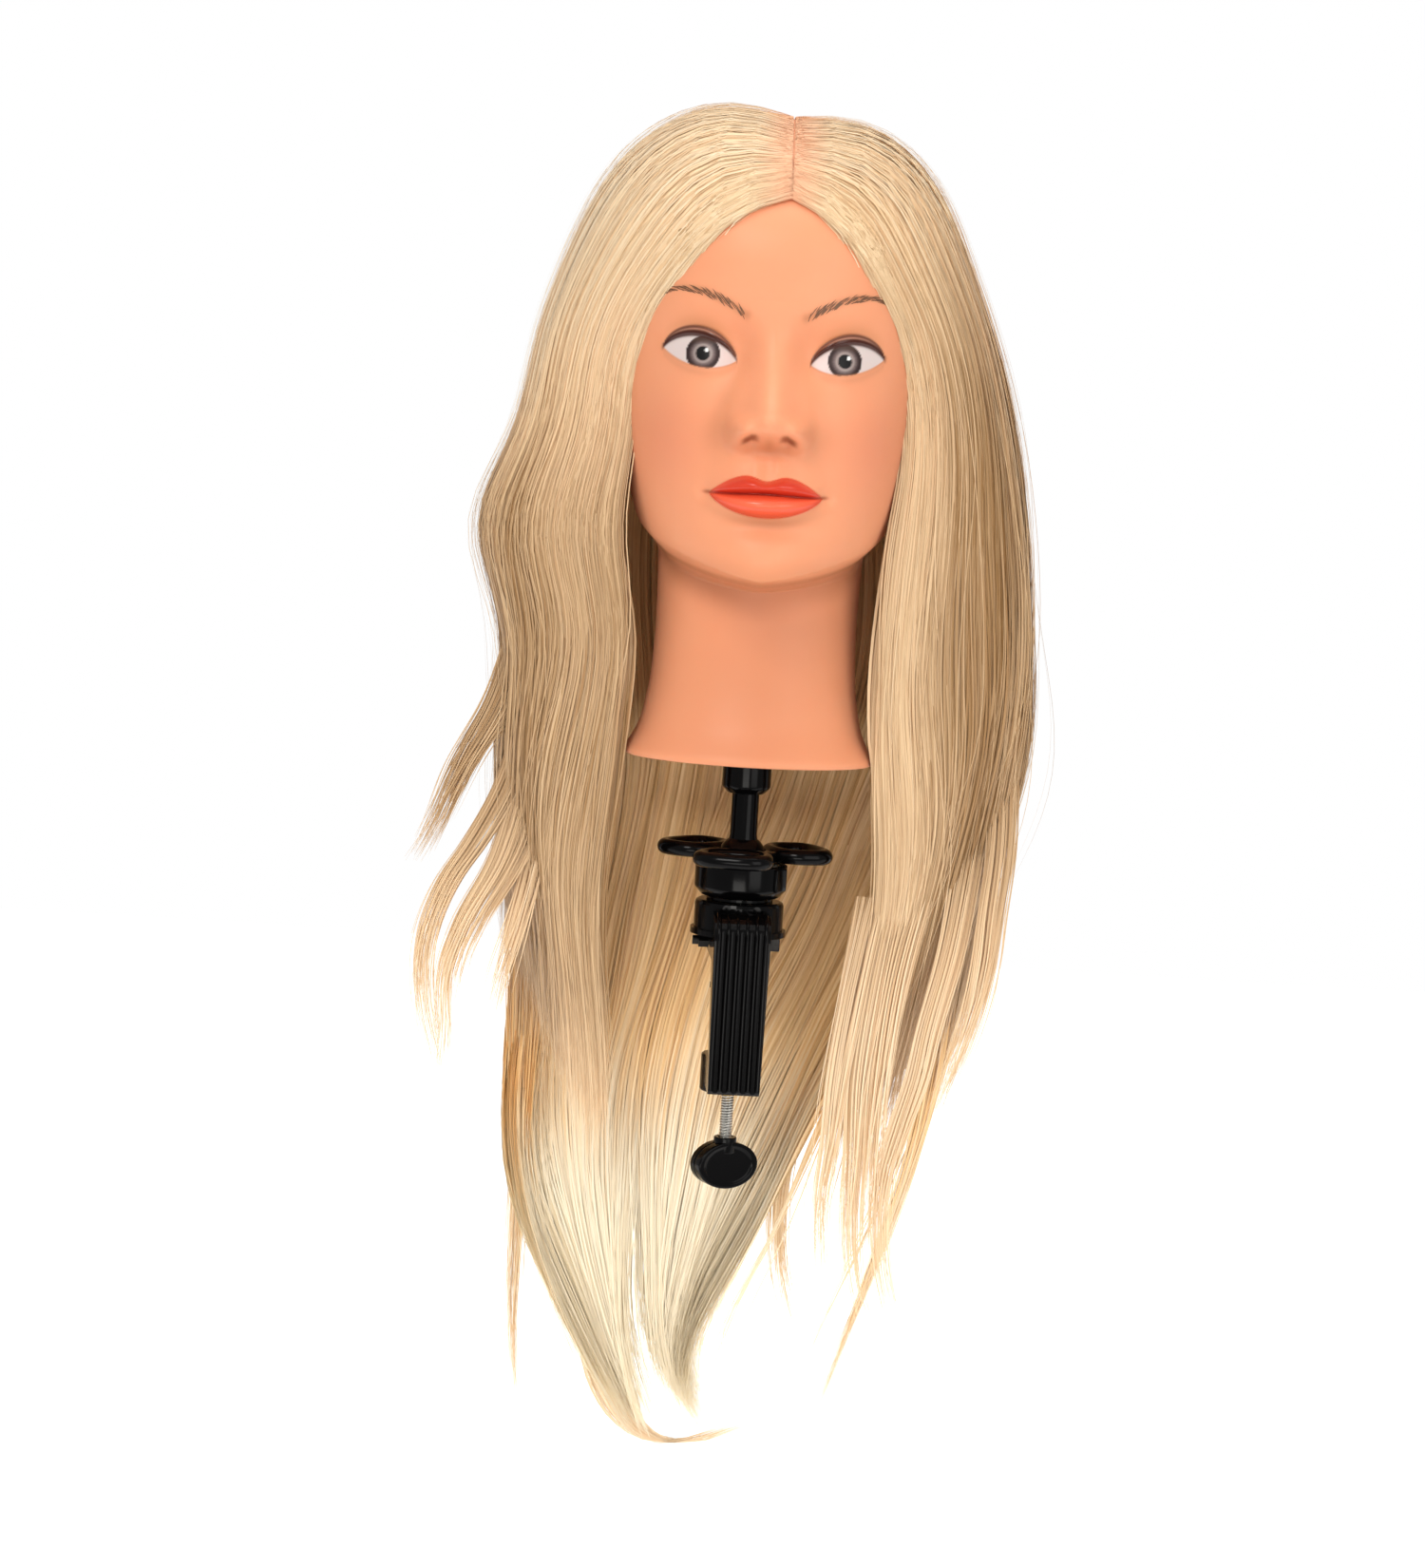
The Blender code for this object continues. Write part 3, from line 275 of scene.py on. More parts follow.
def black_plastic_material():
    n = Nodes("gloss_black_plastic")
    wear = n.noise(60.0, 4.0, 0.6)
    n.set(Base_Color=n.mix(wear, linear(3, 3, 4), linear(8, 7, 7)),
          Roughness=n.spread(n.noise(35.0, 3.0), 0.11, 0.20), Specular_IOR_Level=0.12)
    n.bump(n.noise(420.0, 3.0), 0.08, 0.0002)
    return n.material


def metal_material(name, dark, light, rough_low=0.22, rough_high=0.40):
    n = Nodes(name)
    tone = n.noise(240.0, 4.0, 0.6)
    n.set(Base_Color=n.mix(tone, dark, light), Metallic=1.0,
          Roughness=n.spread(n.noise(150.0, 2.0), rough_low, rough_high))
    n.bump(n.noise(700.0, 2.0), 0.12, 0.0001)
    return n.material


def matt_material(name, dark, light, rough=0.7, grain=250.0):
    n = Nodes(name)
    n.set(Base_Color=n.mix(n.noise(80.0), dark, light),
          Roughness=n.spread(n.noise(90.0), rough - 0.08, rough + 0.08))
    n.bump(n.noise(grain, 3.0), 0.25, 0.0003)
    return n.material


def hair_material(name, dark, middle, light, rough=0.36):
    """Strand colour by the shade attribute, which holds each strand's own tone and its painted shade, with
    fine streaks along it and the scalp at its root.
    """
    n = Nodes(name)
    shade = n.attribute("shade").outputs["Fac"]
    flow = n.attribute("flow").outputs["Vector"]
    scalp = n.attribute("scalp").outputs["Fac"]
    streak = n.noise(1.0, 3.0, 0.6, flow)
    tone = n.math("ADD", shade, n.math("MULTIPLY", n.math("SUBTRACT", streak, 0.5), 0.75), clamp=True)
    ramp = n.add("ShaderNodeValToRGB", inputs={"Fac": tone})
    ramp.color_ramp.elements[0].color = linear(*dark)
    ramp.color_ramp.elements[1].color = linear(*light)
    ramp.color_ramp.elements.new(0.5).color = linear(*middle)
    colour = n.mix(n.math("MULTIPLY", scalp, n.spread(streak, 0.55, 1.0)), ramp.outputs["Color"],
                   linear(252, 188, 146))
    n.set(Base_Color=colour, Roughness=rough, Specular_IOR_Level=0.45, Anisotropic=0.6)
    n.bump(streak, 0.35, 0.0003)
    tangent = n.add("ShaderNodeTangent", direction_type="UV_MAP", uv_map="along")
    n.set(Tangent=tangent.outputs["Tangent"])
    return n.material


# ------------------------------------------------------------------ head surface

NECK_STATIONS = np.array((
    (0.094, 0.058, 0.051, 0.053),
    (0.104, 0.0525, 0.0455, 0.049),
    (0.120, 0.0485, 0.041, 0.047),
    (0.143, 0.0465, 0.038, 0.048),
    (0.170, 0.0465, 0.038, 0.052),
    (0.230, 0.050, 0.040, 0.062),
))
FACE_STATIONS = np.array((
    (0.165, 0.041, 0.081, 0.050),
    (0.178, 0.046, 0.0850, 0.056),
    (0.192, 0.0535, 0.0865, 0.062),
    (0.206, 0.0595, 0.0860, 0.068),
    (0.225, 0.0640, 0.0870, 0.076),
    (0.245, 0.0665, 0.0870, 0.086),
    (0.274, 0.0695, 0.0855, 0.094),
    (0.293, 0.0715, 0.0875, 0.096),
    (0.315, 0.0720, 0.0880, 0.096),
))
EYE_X, EYE_Z = 0.0310, 0.2740
MOUTH_Z = 0.2142
BROW_Z = 0.2975
BROW_ARCH = np.array(((0.0130, 0.2908), (0.0220, 0.2960), (0.0300, 0.2994), (0.0380, 0.3013),
                      (0.0440, 0.3013), (0.0500, 0.2988), (0.0545, 0.2958)))
BROW_THICK = np.array(((0.0130, 0.0034), (0.0220, 0.0036), (0.0300, 0.0030), (0.0400, 0.0020),
                       (0.0480, 0.0012), (0.0545, 0.0006)))
MOUTH_HALF = 0.0250
NECK_POWER = 2.0              # 2 is an ellipse; more makes an oval's corners squarer
FACE_POWER = 2.15


def smooth_interp(z, stations, column):
    """Monotone-cubic-like interpolation of a station column, smooth through the stations."""
    xs, ys = stations[:, 0], stations[:, column]
    slopes = np.gradient(ys, xs)
    z = np.clip(z, xs[0], xs[-1])
    i = np.clip(np.searchsorted(xs, z) - 1, 0, len(xs) - 2)
    h = xs[i + 1] - xs[i]
    t = (z - xs[i]) / h
    return hermite(t, h, ys[i], ys[i + 1], slopes[i], slopes[i + 1])


def oval(angle, half_width, front, back, power):
    sine, cosine = np.sin(angle), np.cos(angle)
    reach = np.where(cosine > 0, front, back)
    x = half_width * np.sign(sine) * np.abs(sine) ** (2 / power)
    y = -reach * np.sign(cosine) * np.abs(cosine) ** (2 / power)
    return x, y


def jaw_height(turn):
    """Height of the jaw line at a turn in degrees away from the front of the face."""
    return 0.1732 + 0.0513 * (turn / 180) ** 1.3


def face_share(turn, z):
    """0 on the neck and 1 on the face, changing over softly at the jaw line."""
    spread = 0.0034 + 0.010 * turn / 180
    return smoothstep(z, jaw_height(turn) - spread, jaw_height(turn) + spread)


def head_base(angle, z):
    """The head without its features: neck and face joined along the jaw line."""
    neck = [smooth_interp(z, NECK_STATIONS, c) for c in (1, 2, 3)]
    face = [smooth_interp(z, FACE_STATIONS, c) for c in (1, 2, 3)]
    t = np.clip((z - TEMPLE_Z) / (CROWN_Z - TEMPLE_Z), 0, 1)
    dome = np.where(z > TEMPLE_Z, np.sqrt(np.maximum(0.0, 1 - t * t)), 1.0)
    neck_x, neck_y = oval(angle, *neck, NECK_POWER)
    face_x, face_y = oval(angle, *(value * dome for value in face), FACE_POWER)
    turn = np.abs(np.degrees(np.arctan2(np.sin(angle), np.cos(angle))))
    blend = face_share(turn, z)
    return neck_x + (face_x - neck_x) * blend, neck_y + (face_y - neck_y) * blend


def nose_relief(x, z):
    heights = np.array(((0.2280, 0.0), (0.2342, 0.0012), (0.2372, 0.0075), (0.2400, 0.0160),
                        (0.2442, 0.0200), (0.2495, 0.0176), (0.2570, 0.0128), (0.2655, 0.0082),
                        (0.2745, 0.0050), (0.2840, 0.0026), (0.2980, 0.0)))
    widths = np.array(((0.2280, 0.0100), (0.2400, 0.0094), (0.2442, 0.0090), (0.2530, 0.0074),
                       (0.2640, 0.0062), (0.2740, 0.0062), (0.2980, 0.0100)))
    height = np.where((z > 0.228) & (z < 0.298), smooth_interp(z, heights, 1), 0.0)
    width = smooth_interp(z, widths, 1)
    ridge = height * np.exp(-0.5 * np.abs(x / width) ** 2.2)
    wings = 0.0092 * bell(np.abs(x), 0.0129, 0.0042, 2.4) * bell(z, 0.2402, 0.0048, 2.4)
    crease = -0.0015 * bell(np.abs(x), 0.0190, 0.0026) * bell(z, 0.2400, 0.0062)
    pits = -0.0050 * bell(np.abs(x), 0.0084, 0.0028) * bell(z, 0.2376, 0.0016)
    sides = 0.0016 * bell(np.abs(x), 0.012, 0.006) * bell(z, 0.262, 0.012)
    return ridge + wings + crease + pits + sides


def lip_outline(x):
    """Upper edge, seam and lower edge of the lips above the mouth's middle height, at x."""
    t = np.clip(np.abs(x) / MOUTH_HALF, 0, 1)
    peak = 0.0086
    outer = np.clip((np.abs(x) - peak) / (MOUTH_HALF - peak), 0, 1)
    upper = np.where(np.abs(x) < peak,
                     0.0059 + 0.0022 * np.sin(np.pi / 2 * np.minimum(np.abs(x), peak) / peak) ** 1.8,
                     0.0081 * np.maximum(0.0, 1 - outer ** 1.7))
    seam = 0.0005 * np.cos(t * np.pi) * (1 - t)
    lower = -0.0101 * np.maximum(0.0, 1 - t * t) ** 0.70
    return upper, seam, lower


def mouth_relief(x, z):
    v = z - MOUTH_Z
    upper, seam, lower = lip_outline(x)
    inside = np.clip(1 - (np.abs(x) / MOUTH_HALF) ** 2, 0, 1)
    top = np.clip((v - seam) / np.maximum(upper - seam, 1e-5), 0, 1)
    low = np.clip((seam - v) / np.maximum(seam - lower, 1e-5), 0, 1)
    upper_roll = 0.0042 * np.sin(np.pi * top) ** 0.8 * (v >= seam) * (v < upper)
    lower_roll = 0.0056 * np.sin(np.pi * low) ** 0.75 * (v < seam) * (v > lower)
    mound = 0.0045 * bell(x, 0.0, 0.0165, 2.5) * bell(v, -0.0005, 0.0095, 2.5)
    rolls = (upper_roll + lower_roll) * inside ** 0.6
    groove = -0.0016 * bell(v, seam, 0.0009) * bell(x, 0, 0.019, 4)
    corners = -0.0022 * bell(np.abs(x), 0.0262, 0.0026) * bell(v, 0.0002, 0.0030)
    fold = -0.0030 * bell(x, 0, 0.0150) * bell(v, -0.0135, 0.0034)
    philtrum = -0.0009 * bell(x, 0, 0.0026) * bell(v, 0.0130, 0.0050)
    ridge = 0.0006 * bell(np.abs(x), 0.0048, 0.0016) * bell(v, 0.0120, 0.0045)
    return rolls + mound + groove + corners + fold + philtrum + ridge


def eye_lines(u):
    """Heights of the lid edges and painted lines at u, measured outward from the eye's middle."""
    inner, outer = -0.0150, 0.0177
    base = -0.0022 + (u - inner) / (outer - inner) * 0.0046
    middle = (inner + outer) / 2
    t = np.clip(1 - ((u - middle) / ((outer - inner) / 2)) ** 2, 0, 1)
    lid = base + 0.0074 * t ** 0.80
    low = base - 0.0059 * t ** 0.85
    liner = base + 0.0084 * t ** 0.72
    crease = base + 0.0112 * t ** 0.62
    inside = (u > inner) & (u < outer)
    return lid, low, liner, crease, inside, t


def eye_relief(x, z):
    u = np.abs(x) - EYE_X
    v = z - EYE_Z
    lid, low, _, crease, inside, t = eye_lines(u)
    socket = -0.0058 * bell(u, -0.002, 0.0155) * bell(v, 0.004, 0.0105)
    inner_hollow = -0.0036 * bell(np.abs(x), 0.0150, 0.0055) * bell(v, 0.0, 0.0090)
    ball = 0.0056 * np.exp(-(u / 0.0125) ** 2 - (v / 0.0105) ** 2)
    above = 0.0011 * t ** 0.5 * smoothstep(v, lid - 0.0002, lid + 0.0010)
    above *= 1 - smoothstep(v, crease - 0.0016, crease + 0.0004)
    below = 0.0007 * t ** 0.5 * (1 - smoothstep(v, low - 0.0008, low + 0.0002)) * bell(v, low - 0.001, 0.0022)
    fold = -0.0008 * t ** 0.5 * bell(v, crease + 0.0002, 0.0007)
    return socket + inner_hollow + ball + np.where(inside, above + below + fold, 0.0)


def face_relief(x, z):
    """How far the face stands proud of the plain head."""
    ax = np.abs(x)
    out = nose_relief(x, z) + mouth_relief(x, z) + eye_relief(x, z)
    out += 0.0022 * bell(ax, 0.030, 0.016) * bell(z, BROW_Z - 0.005, 0.0065)
    out += -0.0012 * bell(x, 0, 0.007) * bell(z, 0.289, 0.008)
    out += 0.0034 * bell(ax, 0.041, 0.014) * bell(z, 0.247, 0.012)
    out += -0.0016 * bell(ax, 0.030, 0.009) * bell(z, 0.224, 0.012)
    out += 0.0042 * bell(x, 0, 0.0150, 2.4) * bell(z, 0.1855, 0.0085)
    out += -0.0010 * bell(ax, 0.0245, 0.0040) * bell(z, 0.2300, 0.0080)
    return out


def head_surface(angle, z):
    x, y = head_base(angle, z)
    facing = smoothstep(np.cos(angle), 0.12, 0.55)
    return x, y - facing * face_relief(x, z)


def warped_rows():
    """Ring heights, densest over the eyes and brows."""
    spans = ((NECK_Z, 0.164, 34), (0.164, 0.200, 84), (0.200, 0.255, 120), (0.255, 0.302, 130),
             (0.302, TEMPLE_Z, 8))
    rows = []
    for low, high, count in spans:
        rows.extend(low + (high - low) * i / count for i in range(count))
    dome = 44
    for i in range(dome):
        rows.append(TEMPLE_Z + (CROWN_Z - TEMPLE_Z) * math.sin(math.pi / 2 * i / dome))
    return np.array(rows)


def paint_of_face(x, y, z):
    """Painted colour (the face's own paint, with painted shade and painted highlights laid into it), how far
    it covers the vinyl, gloss and blush at each point.
    """
    ax = np.abs(x)
    colour = np.zeros((*x.shape, 4))
    colour[..., 3] = 1.0
    cover = np.zeros(x.shape)
    turn = np.abs(np.degrees(np.arctan2(x, -y)))
    jaw_z = jaw_height(turn)
    front = np.where(z < jaw_z + 0.012, smoothstep(-y, 0.004, 0.022), y < -0.045)

    def lay(rgb, amount):
        nonlocal cover
        shade = linear(*rgb)
        amount = np.clip(amount, 0, 1) * front
        total = cover + amount * (1 - cover)
        share = np.where(total > 1e-6, amount / np.maximum(total, 1e-6), 0.0)
        for k in range(3):
            colour[..., k] = colour[..., k] * (1 - share) + shade[k] * share
        cover = total

    u, v = ax - EYE_X, z - EYE_Z
    lid, low, liner, crease, inside, t = eye_lines(u)
    near = (np.abs(u) < 0.024) & (np.abs(v) < 0.022)
    edge = 0.00025
    shadow = bell(v, crease, 0.0034) * bell(u, 0.001, 0.0120, 3) * near
    lay((201, 128, 78), 0.55 * shadow)
    over_lid = smoothstep(v, lid - edge, lid + edge)
    aperture = smoothstep(v, low - edge, low + edge) * (1 - over_lid) * inside
    lay((226, 209, 204), aperture)
    radius = np.hypot(u, v)
    disc = 1 - smoothstep(radius, 0.0073, 0.0077)
    iris = np.maximum(aperture * disc, disc * inside * (v < liner - 0.0008) * (v > low - 0.0003) * near)
    lay((48, 29, 28), iris)
    grey = iris * (1 - smoothstep(radius, 0.0046, 0.0064))
    bearing = np.arctan2(v, u)
    spokes = 0.5 + 0.5 * np.sin(bearing * 34 + 3 * np.sin(bearing * 7))
    lay((118, 99, 97), 0.94 * grey * (0.80 + 0.20 * spokes))
    lay((172, 156, 150), iris * bell(radius, 0.0037, 0.0005) * 0.85)
    # Painted shade: the top of each iris is darker, as under the upper lid's shadow.
    lay((90, 66, 54), iris * smoothstep(v, 0.0035, 0.0062) * 0.65)
    lay((4, 2, 2), iris * (1 - smoothstep(radius, 0.0029, 0.0032)))
    spark = np.hypot(u * np.sign(x) - 0.0016, v - 0.0015)
    lay((252, 250, 248), iris * (1 - smoothstep(spark, 0.00075, 0.00105)))
    gloss = 0.35 * aperture * (1 - iris) - 0.6 * iris

    lid_zone = over_lid * (1 - smoothstep(v, crease - edge, crease + edge)) * inside
    lay((176, 118, 88), lid_zone * (1 - iris) * 0.85)
    # Painted highlight: a lighter band across the upper lid, standing in for its sheen.
    lay((200, 150, 130), lid_zone * bell(v, (liner + crease) / 2 + 0.0008, 0.0007) * 0.85)
    line_width = 0.0010 + 0.0002 * t
    lash = (70, 28, 16)
    lay(lash, bell(v, liner, line_width, 5) * inside * near)
    wing = bell(v, liner, 0.0012, 3) * (1 - smoothstep(u, 0.0172, 0.0192)) * smoothstep(u, -0.0154, -0.0148)
    lay(lash, wing * near * 0.9)
    lay((92, 48, 34), bell(v, crease, 0.0006, 3) * inside * near * 0.85)
    lay((205, 140, 104), bell(v, low - 0.0004, 0.0005, 3) * inside * near * 0.55)
    lay((196, 130, 90), bell(v, low - 0.0022, 0.0012) * inside * near * 0.25)
    gloss = np.maximum(gloss, 0.8 * lid_zone * near)

    brow_x = np.clip(ax, BROW_ARCH[0, 0], BROW_ARCH[-1, 0])
    brow_gap = np.hypot(ax - brow_x, z - smooth_interp(brow_x, BROW_ARCH, 1) - 0.0006)
    lay((176, 112, 72), 0.48 * np.exp(-(brow_gap / (0.62 * smooth_interp(brow_x, BROW_THICK, 1))) ** 2))

    bz = z - MOUTH_Z
    upper, seam, lower = lip_outline(x)
    lips = smoothstep(bz, lower - 0.0003, lower + 0.0004)
    lips *= 1 - smoothstep(bz, upper - 0.0004, upper + 0.0003)
    lips *= ax < MOUTH_HALF + 0.0002
    is_upper = smoothstep(bz, seam - 0.0003, seam + 0.0003)
    lay((247, 92, 58), lips)
    lay((218, 64, 40), lips * is_upper)
    # Painted highlight along the top edge of the upper lip.
    lay((232, 92, 66), lips * is_upper * smoothstep(bz, upper - 0.0030, upper - 0.0006) * 0.7)
    low_lip = lips * (1 - is_upper)
    # Painted shade along the lower edge of the lower lip.
    lay((222, 66, 40), low_lip * (1 - smoothstep(bz, lower + 0.0006, lower + 0.0032)) * 0.8)
    lay((166, 34, 18), bell(bz, seam, 0.00045, 3) * bell(x, 0, 0.0235, 10))
    # Painted shade in the corners of the mouth.
    lay((168, 92, 58), bell(ax, 0.0254, 0.0014) * bell(bz, 0.0002, 0.0006) * 0.8)
    # Painted highlight across the middle of the lower lip.
    lay((255, 128, 92), low_lip * bell(bz, lower * 0.42, 0.0012) * bell(x, 0, 0.014, 3) * 0.55)
    gloss = np.maximum(gloss, lips * 0.75)

    nostril_z = 0.2388 - 0.55 * np.maximum(0.0, ax - 0.0078) - 0.35 * np.maximum(0.0, 0.0062 - ax)
    nostril = bell(ax, 0.0084, 0.0030, 4) * bell(z, nostril_z, 0.0011, 3)
    lay((128, 56, 26), nostril * 0.92)
    # Painted shade under the nose, and a small painted shadow beside the septum.
    lay((190, 116, 74), bell(x, 0, 0.0130, 4) * bell(z, 0.2345, 0.0022) * 0.30)
    lay((186, 116, 72), bell(x, 0, 0.0016) * bell(z, 0.2362, 0.0020) * 0.40)
    # Painted shade down each side of the nose, stronger on the left.
    flank = 0.0150 + 0.34 * np.clip(0.268 - z, 0, 0.03)
    lay((206, 132, 90), bell(ax, flank, 0.0034) * bell(z, 0.254, 0.013) * np.where(x < 0, 0.50, 0.28))
    # Painted shade in the creases beside the nose wings.
    lay((206, 134, 94), bell(ax, 0.0212, 0.0038) * bell(z, 0.2385, 0.0055) * 0.34)
    # Painted shade below the lower lip.
    lay((176, 112, 72), bell(x, 0, 0.0170, 3) * bell(z, MOUTH_Z - 0.0122 + 9.0 * x ** 2, 0.0020) * 0.50)
    front_turn = 1 - smoothstep(turn, 60, 95)
    # Painted shade that darkens towards the chin's lower edge.
    jaw_edge_shade = smoothstep(jaw_z - z, -0.0150, -0.0005) * (z > jaw_z - 0.001)
    lay((196, 122, 78), jaw_edge_shade * front_turn * 0.50)
    # Painted shadow under the chin, on the top of the neck.
    chin_shadow = smoothstep(z, jaw_z - 0.0200, jaw_z - 0.0050)
    chin_shadow *= 1 - smoothstep(z, jaw_z + 0.0008, jaw_z + 0.0045)
    lay((160, 92, 54), chin_shadow * front_turn * 0.52)
    # Painted shade down the middle of the neck, below the jaw.
    lay((205, 130, 90), 0.58 * bell(x, 0.004, 0.027) * bell(z, 0.134, 0.030) * (z < jaw_z))

    blush = 0.55 * bell(ax, 0.046, 0.016) * bell(z, 0.236, 0.016)
    blush += 0.105 * bell(x, 0, 0.012) * bell(z, 0.243, 0.007)
    return colour, cover, gloss, np.clip(blush, 0, 1)


def make_head():
    columns = 400
    t = circle(columns)
    angles = t - 0.68 * np.sin(t)       # closer together over the face
    grid_a, grid_z = np.meshgrid(angles, warped_rows())
    x, y = head_surface(grid_a, grid_z)
    mesh = mesh_from_grid("head_skin", np.stack([x, y, grid_z], axis=-1), close_columns=True)
    colour, cover, gloss, blush = paint_of_face(x, y, grid_z)
    set_attribute(mesh, "paint_and_shading", colour.reshape(-1, 4), "FLOAT_COLOR")
    set_attribute(mesh, "paint_cover", cover.ravel())
    set_attribute(mesh, "gloss", gloss.ravel())
    set_attribute(mesh, "blush", blush.ravel())
    bm = bmesh.new()
    bm.from_mesh(mesh)
    bm.verts.ensure_lookup_table()
    top = set(bm.verts[-columns:])
    bmesh.ops.contextual_create(bm, geom=[e for e in bm.edges if e.verts[0] in top and e.verts[1] in top])
    bottom = set(bm.verts[:columns])
    rim = [e for e in bm.edges if e.is_boundary and e.verts[0] in bottom]
    for inward, upward in ((0.0015, -0.0008), (0.0020, 0.0008)):
        made = bmesh.ops.extrude_edge_only(bm, edges=rim)["geom"]
        lip = {v for v in made if isinstance(v, bmesh.types.BMVert)}
        for vert in lip:
            size = math.hypot(vert.co.x, vert.co.y)
            vert.co.x *= 1 - inward / size
            vert.co.y *= 1 - inward / size
            vert.co.z += upward
        edges = [e for e in made if isinstance(e, bmesh.types.BMEdge)]
        rim = [e for e in edges if e.verts[0] in lip and e.verts[1] in lip]
    bmesh.ops.recalc_face_normals(bm, faces=bm.faces)
    bm.to_mesh(mesh)
    bm.free()
    mesh.shade_smooth()
    obj = add_object("head_skin", mesh)
    obj.data.materials.append(vinyl_material())
    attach(obj, "head")
    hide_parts("head_shell")


def make_foam_core():
    """The foam inside the vinyl, a plain shape kept well under the skin."""
    rows = np.linspace(NECK_Z + 0.0042, CROWN_Z - 0.0060, 60)
    angles = np.linspace(0, 2 * np.pi, 90, endpoint=False)
    grid_a, grid_z = np.meshgrid(angles, rows)
    x, y = head_base(grid_a, grid_z)
    size = np.maximum(np.hypot(x, y), 1e-4)
    shrink = np.maximum(0.0, 1 - 0.0085 / size)
    mesh = mesh_from_grid("foam_filling", np.stack([x * shrink, y * shrink, grid_z], axis=-1),
                          close_columns=True)
    close_ends(mesh)
    obj = add_object("foam_filling", mesh)
    obj.data.materials.append(matt_material("foam", linear(214, 202, 170), linear(232, 222, 194), 0.9, 900.0))
    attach(obj, "head")
    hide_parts("foam_core")


def skin_point(x, z):
    """The painted skin's y at x and z, on the front of the face."""
    angle = np.zeros_like(x)
    for _ in range(24):
        at_x, _ = head_base(angle, z)
        angle = angle + (x - at_x) / 0.085
    _, y = head_surface(angle, z)
    return y


def brow_strokes():
    """Short painted hairs, leaning along each brow's arch."""
    points, quads = [], []
    count = 120
    for side in (-1, 1):
        along = np.sort(RNG.uniform(0, 1, count) ** 0.95)
        x = 0.0136 + 0.0390 * along
        z = smooth_interp(x, BROW_ARCH, 1)
        z = z + RNG.uniform(-0.55, 0.35, count) * smooth_interp(x, BROW_THICK, 1)
        lean = np.radians(66 - 72 * along ** 1.2 + RNG.normal(0, 5, count))
        length = (0.0044 - 0.0012 * along) * RNG.uniform(0.75, 1.15, count)
        width = 0.00017 * RNG.uniform(0.7, 1.2, count)
        for i in range(count):
            direction = np.array((math.cos(lean[i]), math.sin(lean[i])))
            across = np.array((-direction[1], direction[0]))
            start = len(points)
            for step in range(5):
                s = step / 4
                bend = 0.10 * length[i] * s * s
                middle = np.array((x[i], z[i])) + direction * length[i] * s - across * bend
                half = width[i] * math.sin(math.pi * (0.12 + 0.86 * s))
                for sign in (-1, 1):
                    place = middle + across * half * sign
                    points.append((side * place[0], 0.0, place[1]))
            for step in range(4):
                a = start + 2 * step
                quads.append((a, a + 1, a + 3, a + 2) if side > 0 else (a, a + 2, a + 3, a + 1))
    points = np.array(points)
    points[:, 1] = skin_point(points[:, 0], points[:, 2]) - 0.00018
    mesh = fast_mesh("brow_paint", points, np.array(quads))
    obj = add_object("brow_paint", mesh)
    n = Nodes("brow_paint")
    n.set(Base_Color=n.mix(n.noise(500.0), linear(92, 62, 44), linear(140, 98, 68)), Roughness=0.5)
    obj.data.materials.append(n.material)
    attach(obj, "head")


# ------------------------------------------------------------------ hair

def table(*pairs):
    """A smooth function of height through (height in mm, value in mm) pairs, highest first."""
    data = np.array(pairs, float)[::-1] * MM

    def value(z):
        return smooth_interp(z, data, 1)
    return value


PART_X = 0.0035
SPRING_Z = 0.330
FRINGE_SHARE = 0.34           # shares below this hang in front of the ears, the rest behind
PART_RISE = 0.0080            # how far the roots stand above the bare head at the crown

# Inner edge of the hair beside the face, and its widest reach, as distances from the middle, by side
EDGE_X = {
    -1: table((352, -3), (347, -2), (343, 5), (338, 14), (329, 25.5), (322, 36), (306, 46.5), (300, 49.5),
              (285, 58.5), (275, 63.5), (259, 68.5), (240, 70), (210, 68.5), (170, 67), (132, 63), (94, 65),
              (60, 68), (40, 68), (0, 62), (-60, 57), (-120, 54), (-200, 48), (-290, 40)),
    1: table((352, 5), (347, 6), (343, 12), (336, 21.5), (325, 31.5), (312, 41), (301, 49), (291, 55.5),
             (277, 61.5), (262, 66), (246, 67.5), (210, 65), (170, 62), (132, 59), (94, 61), (60, 63),
             (40, 63), (0, 60), (-60, 52), (-120, 46), (-200, 38), (-290, 30)),
}
EDGE_Y = table((350, -76), (300, -70), (261, -57), (240, -43), (210, -39), (170, -34), (132, -28), (94, -20),
               (50, -8), (0, 8), (-60, 26), (-120, 40), (-290, 60))
REACH_X = {
    -1: table((350, 83), (330, 92), (312, 98), (277, 107), (246, 115), (219, 123), (189, 127), (163, 122),
              (132, 112), (112, 114), (92, 118), (60, 121), (30, 120), (0, 116), (-70, 110), (-290, 100)),
    1: table((350, 72), (335, 81), (306, 95), (276, 106), (238, 115), (203, 121), (160, 126), (125, 130),
             (94, 132), (60, 128), (40, 124), (9, 118), (-58, 108), (-120, 99), (-193, 70), (-290, 50)),
}
BACK_Y = table((350, 104), (330, 110), (290, 112), (240, 112), (190, 110), (140, 108), (94, 105), (40, 103),
               (-66, 102), (-150, 100), (-220, 97), (-290, 92))
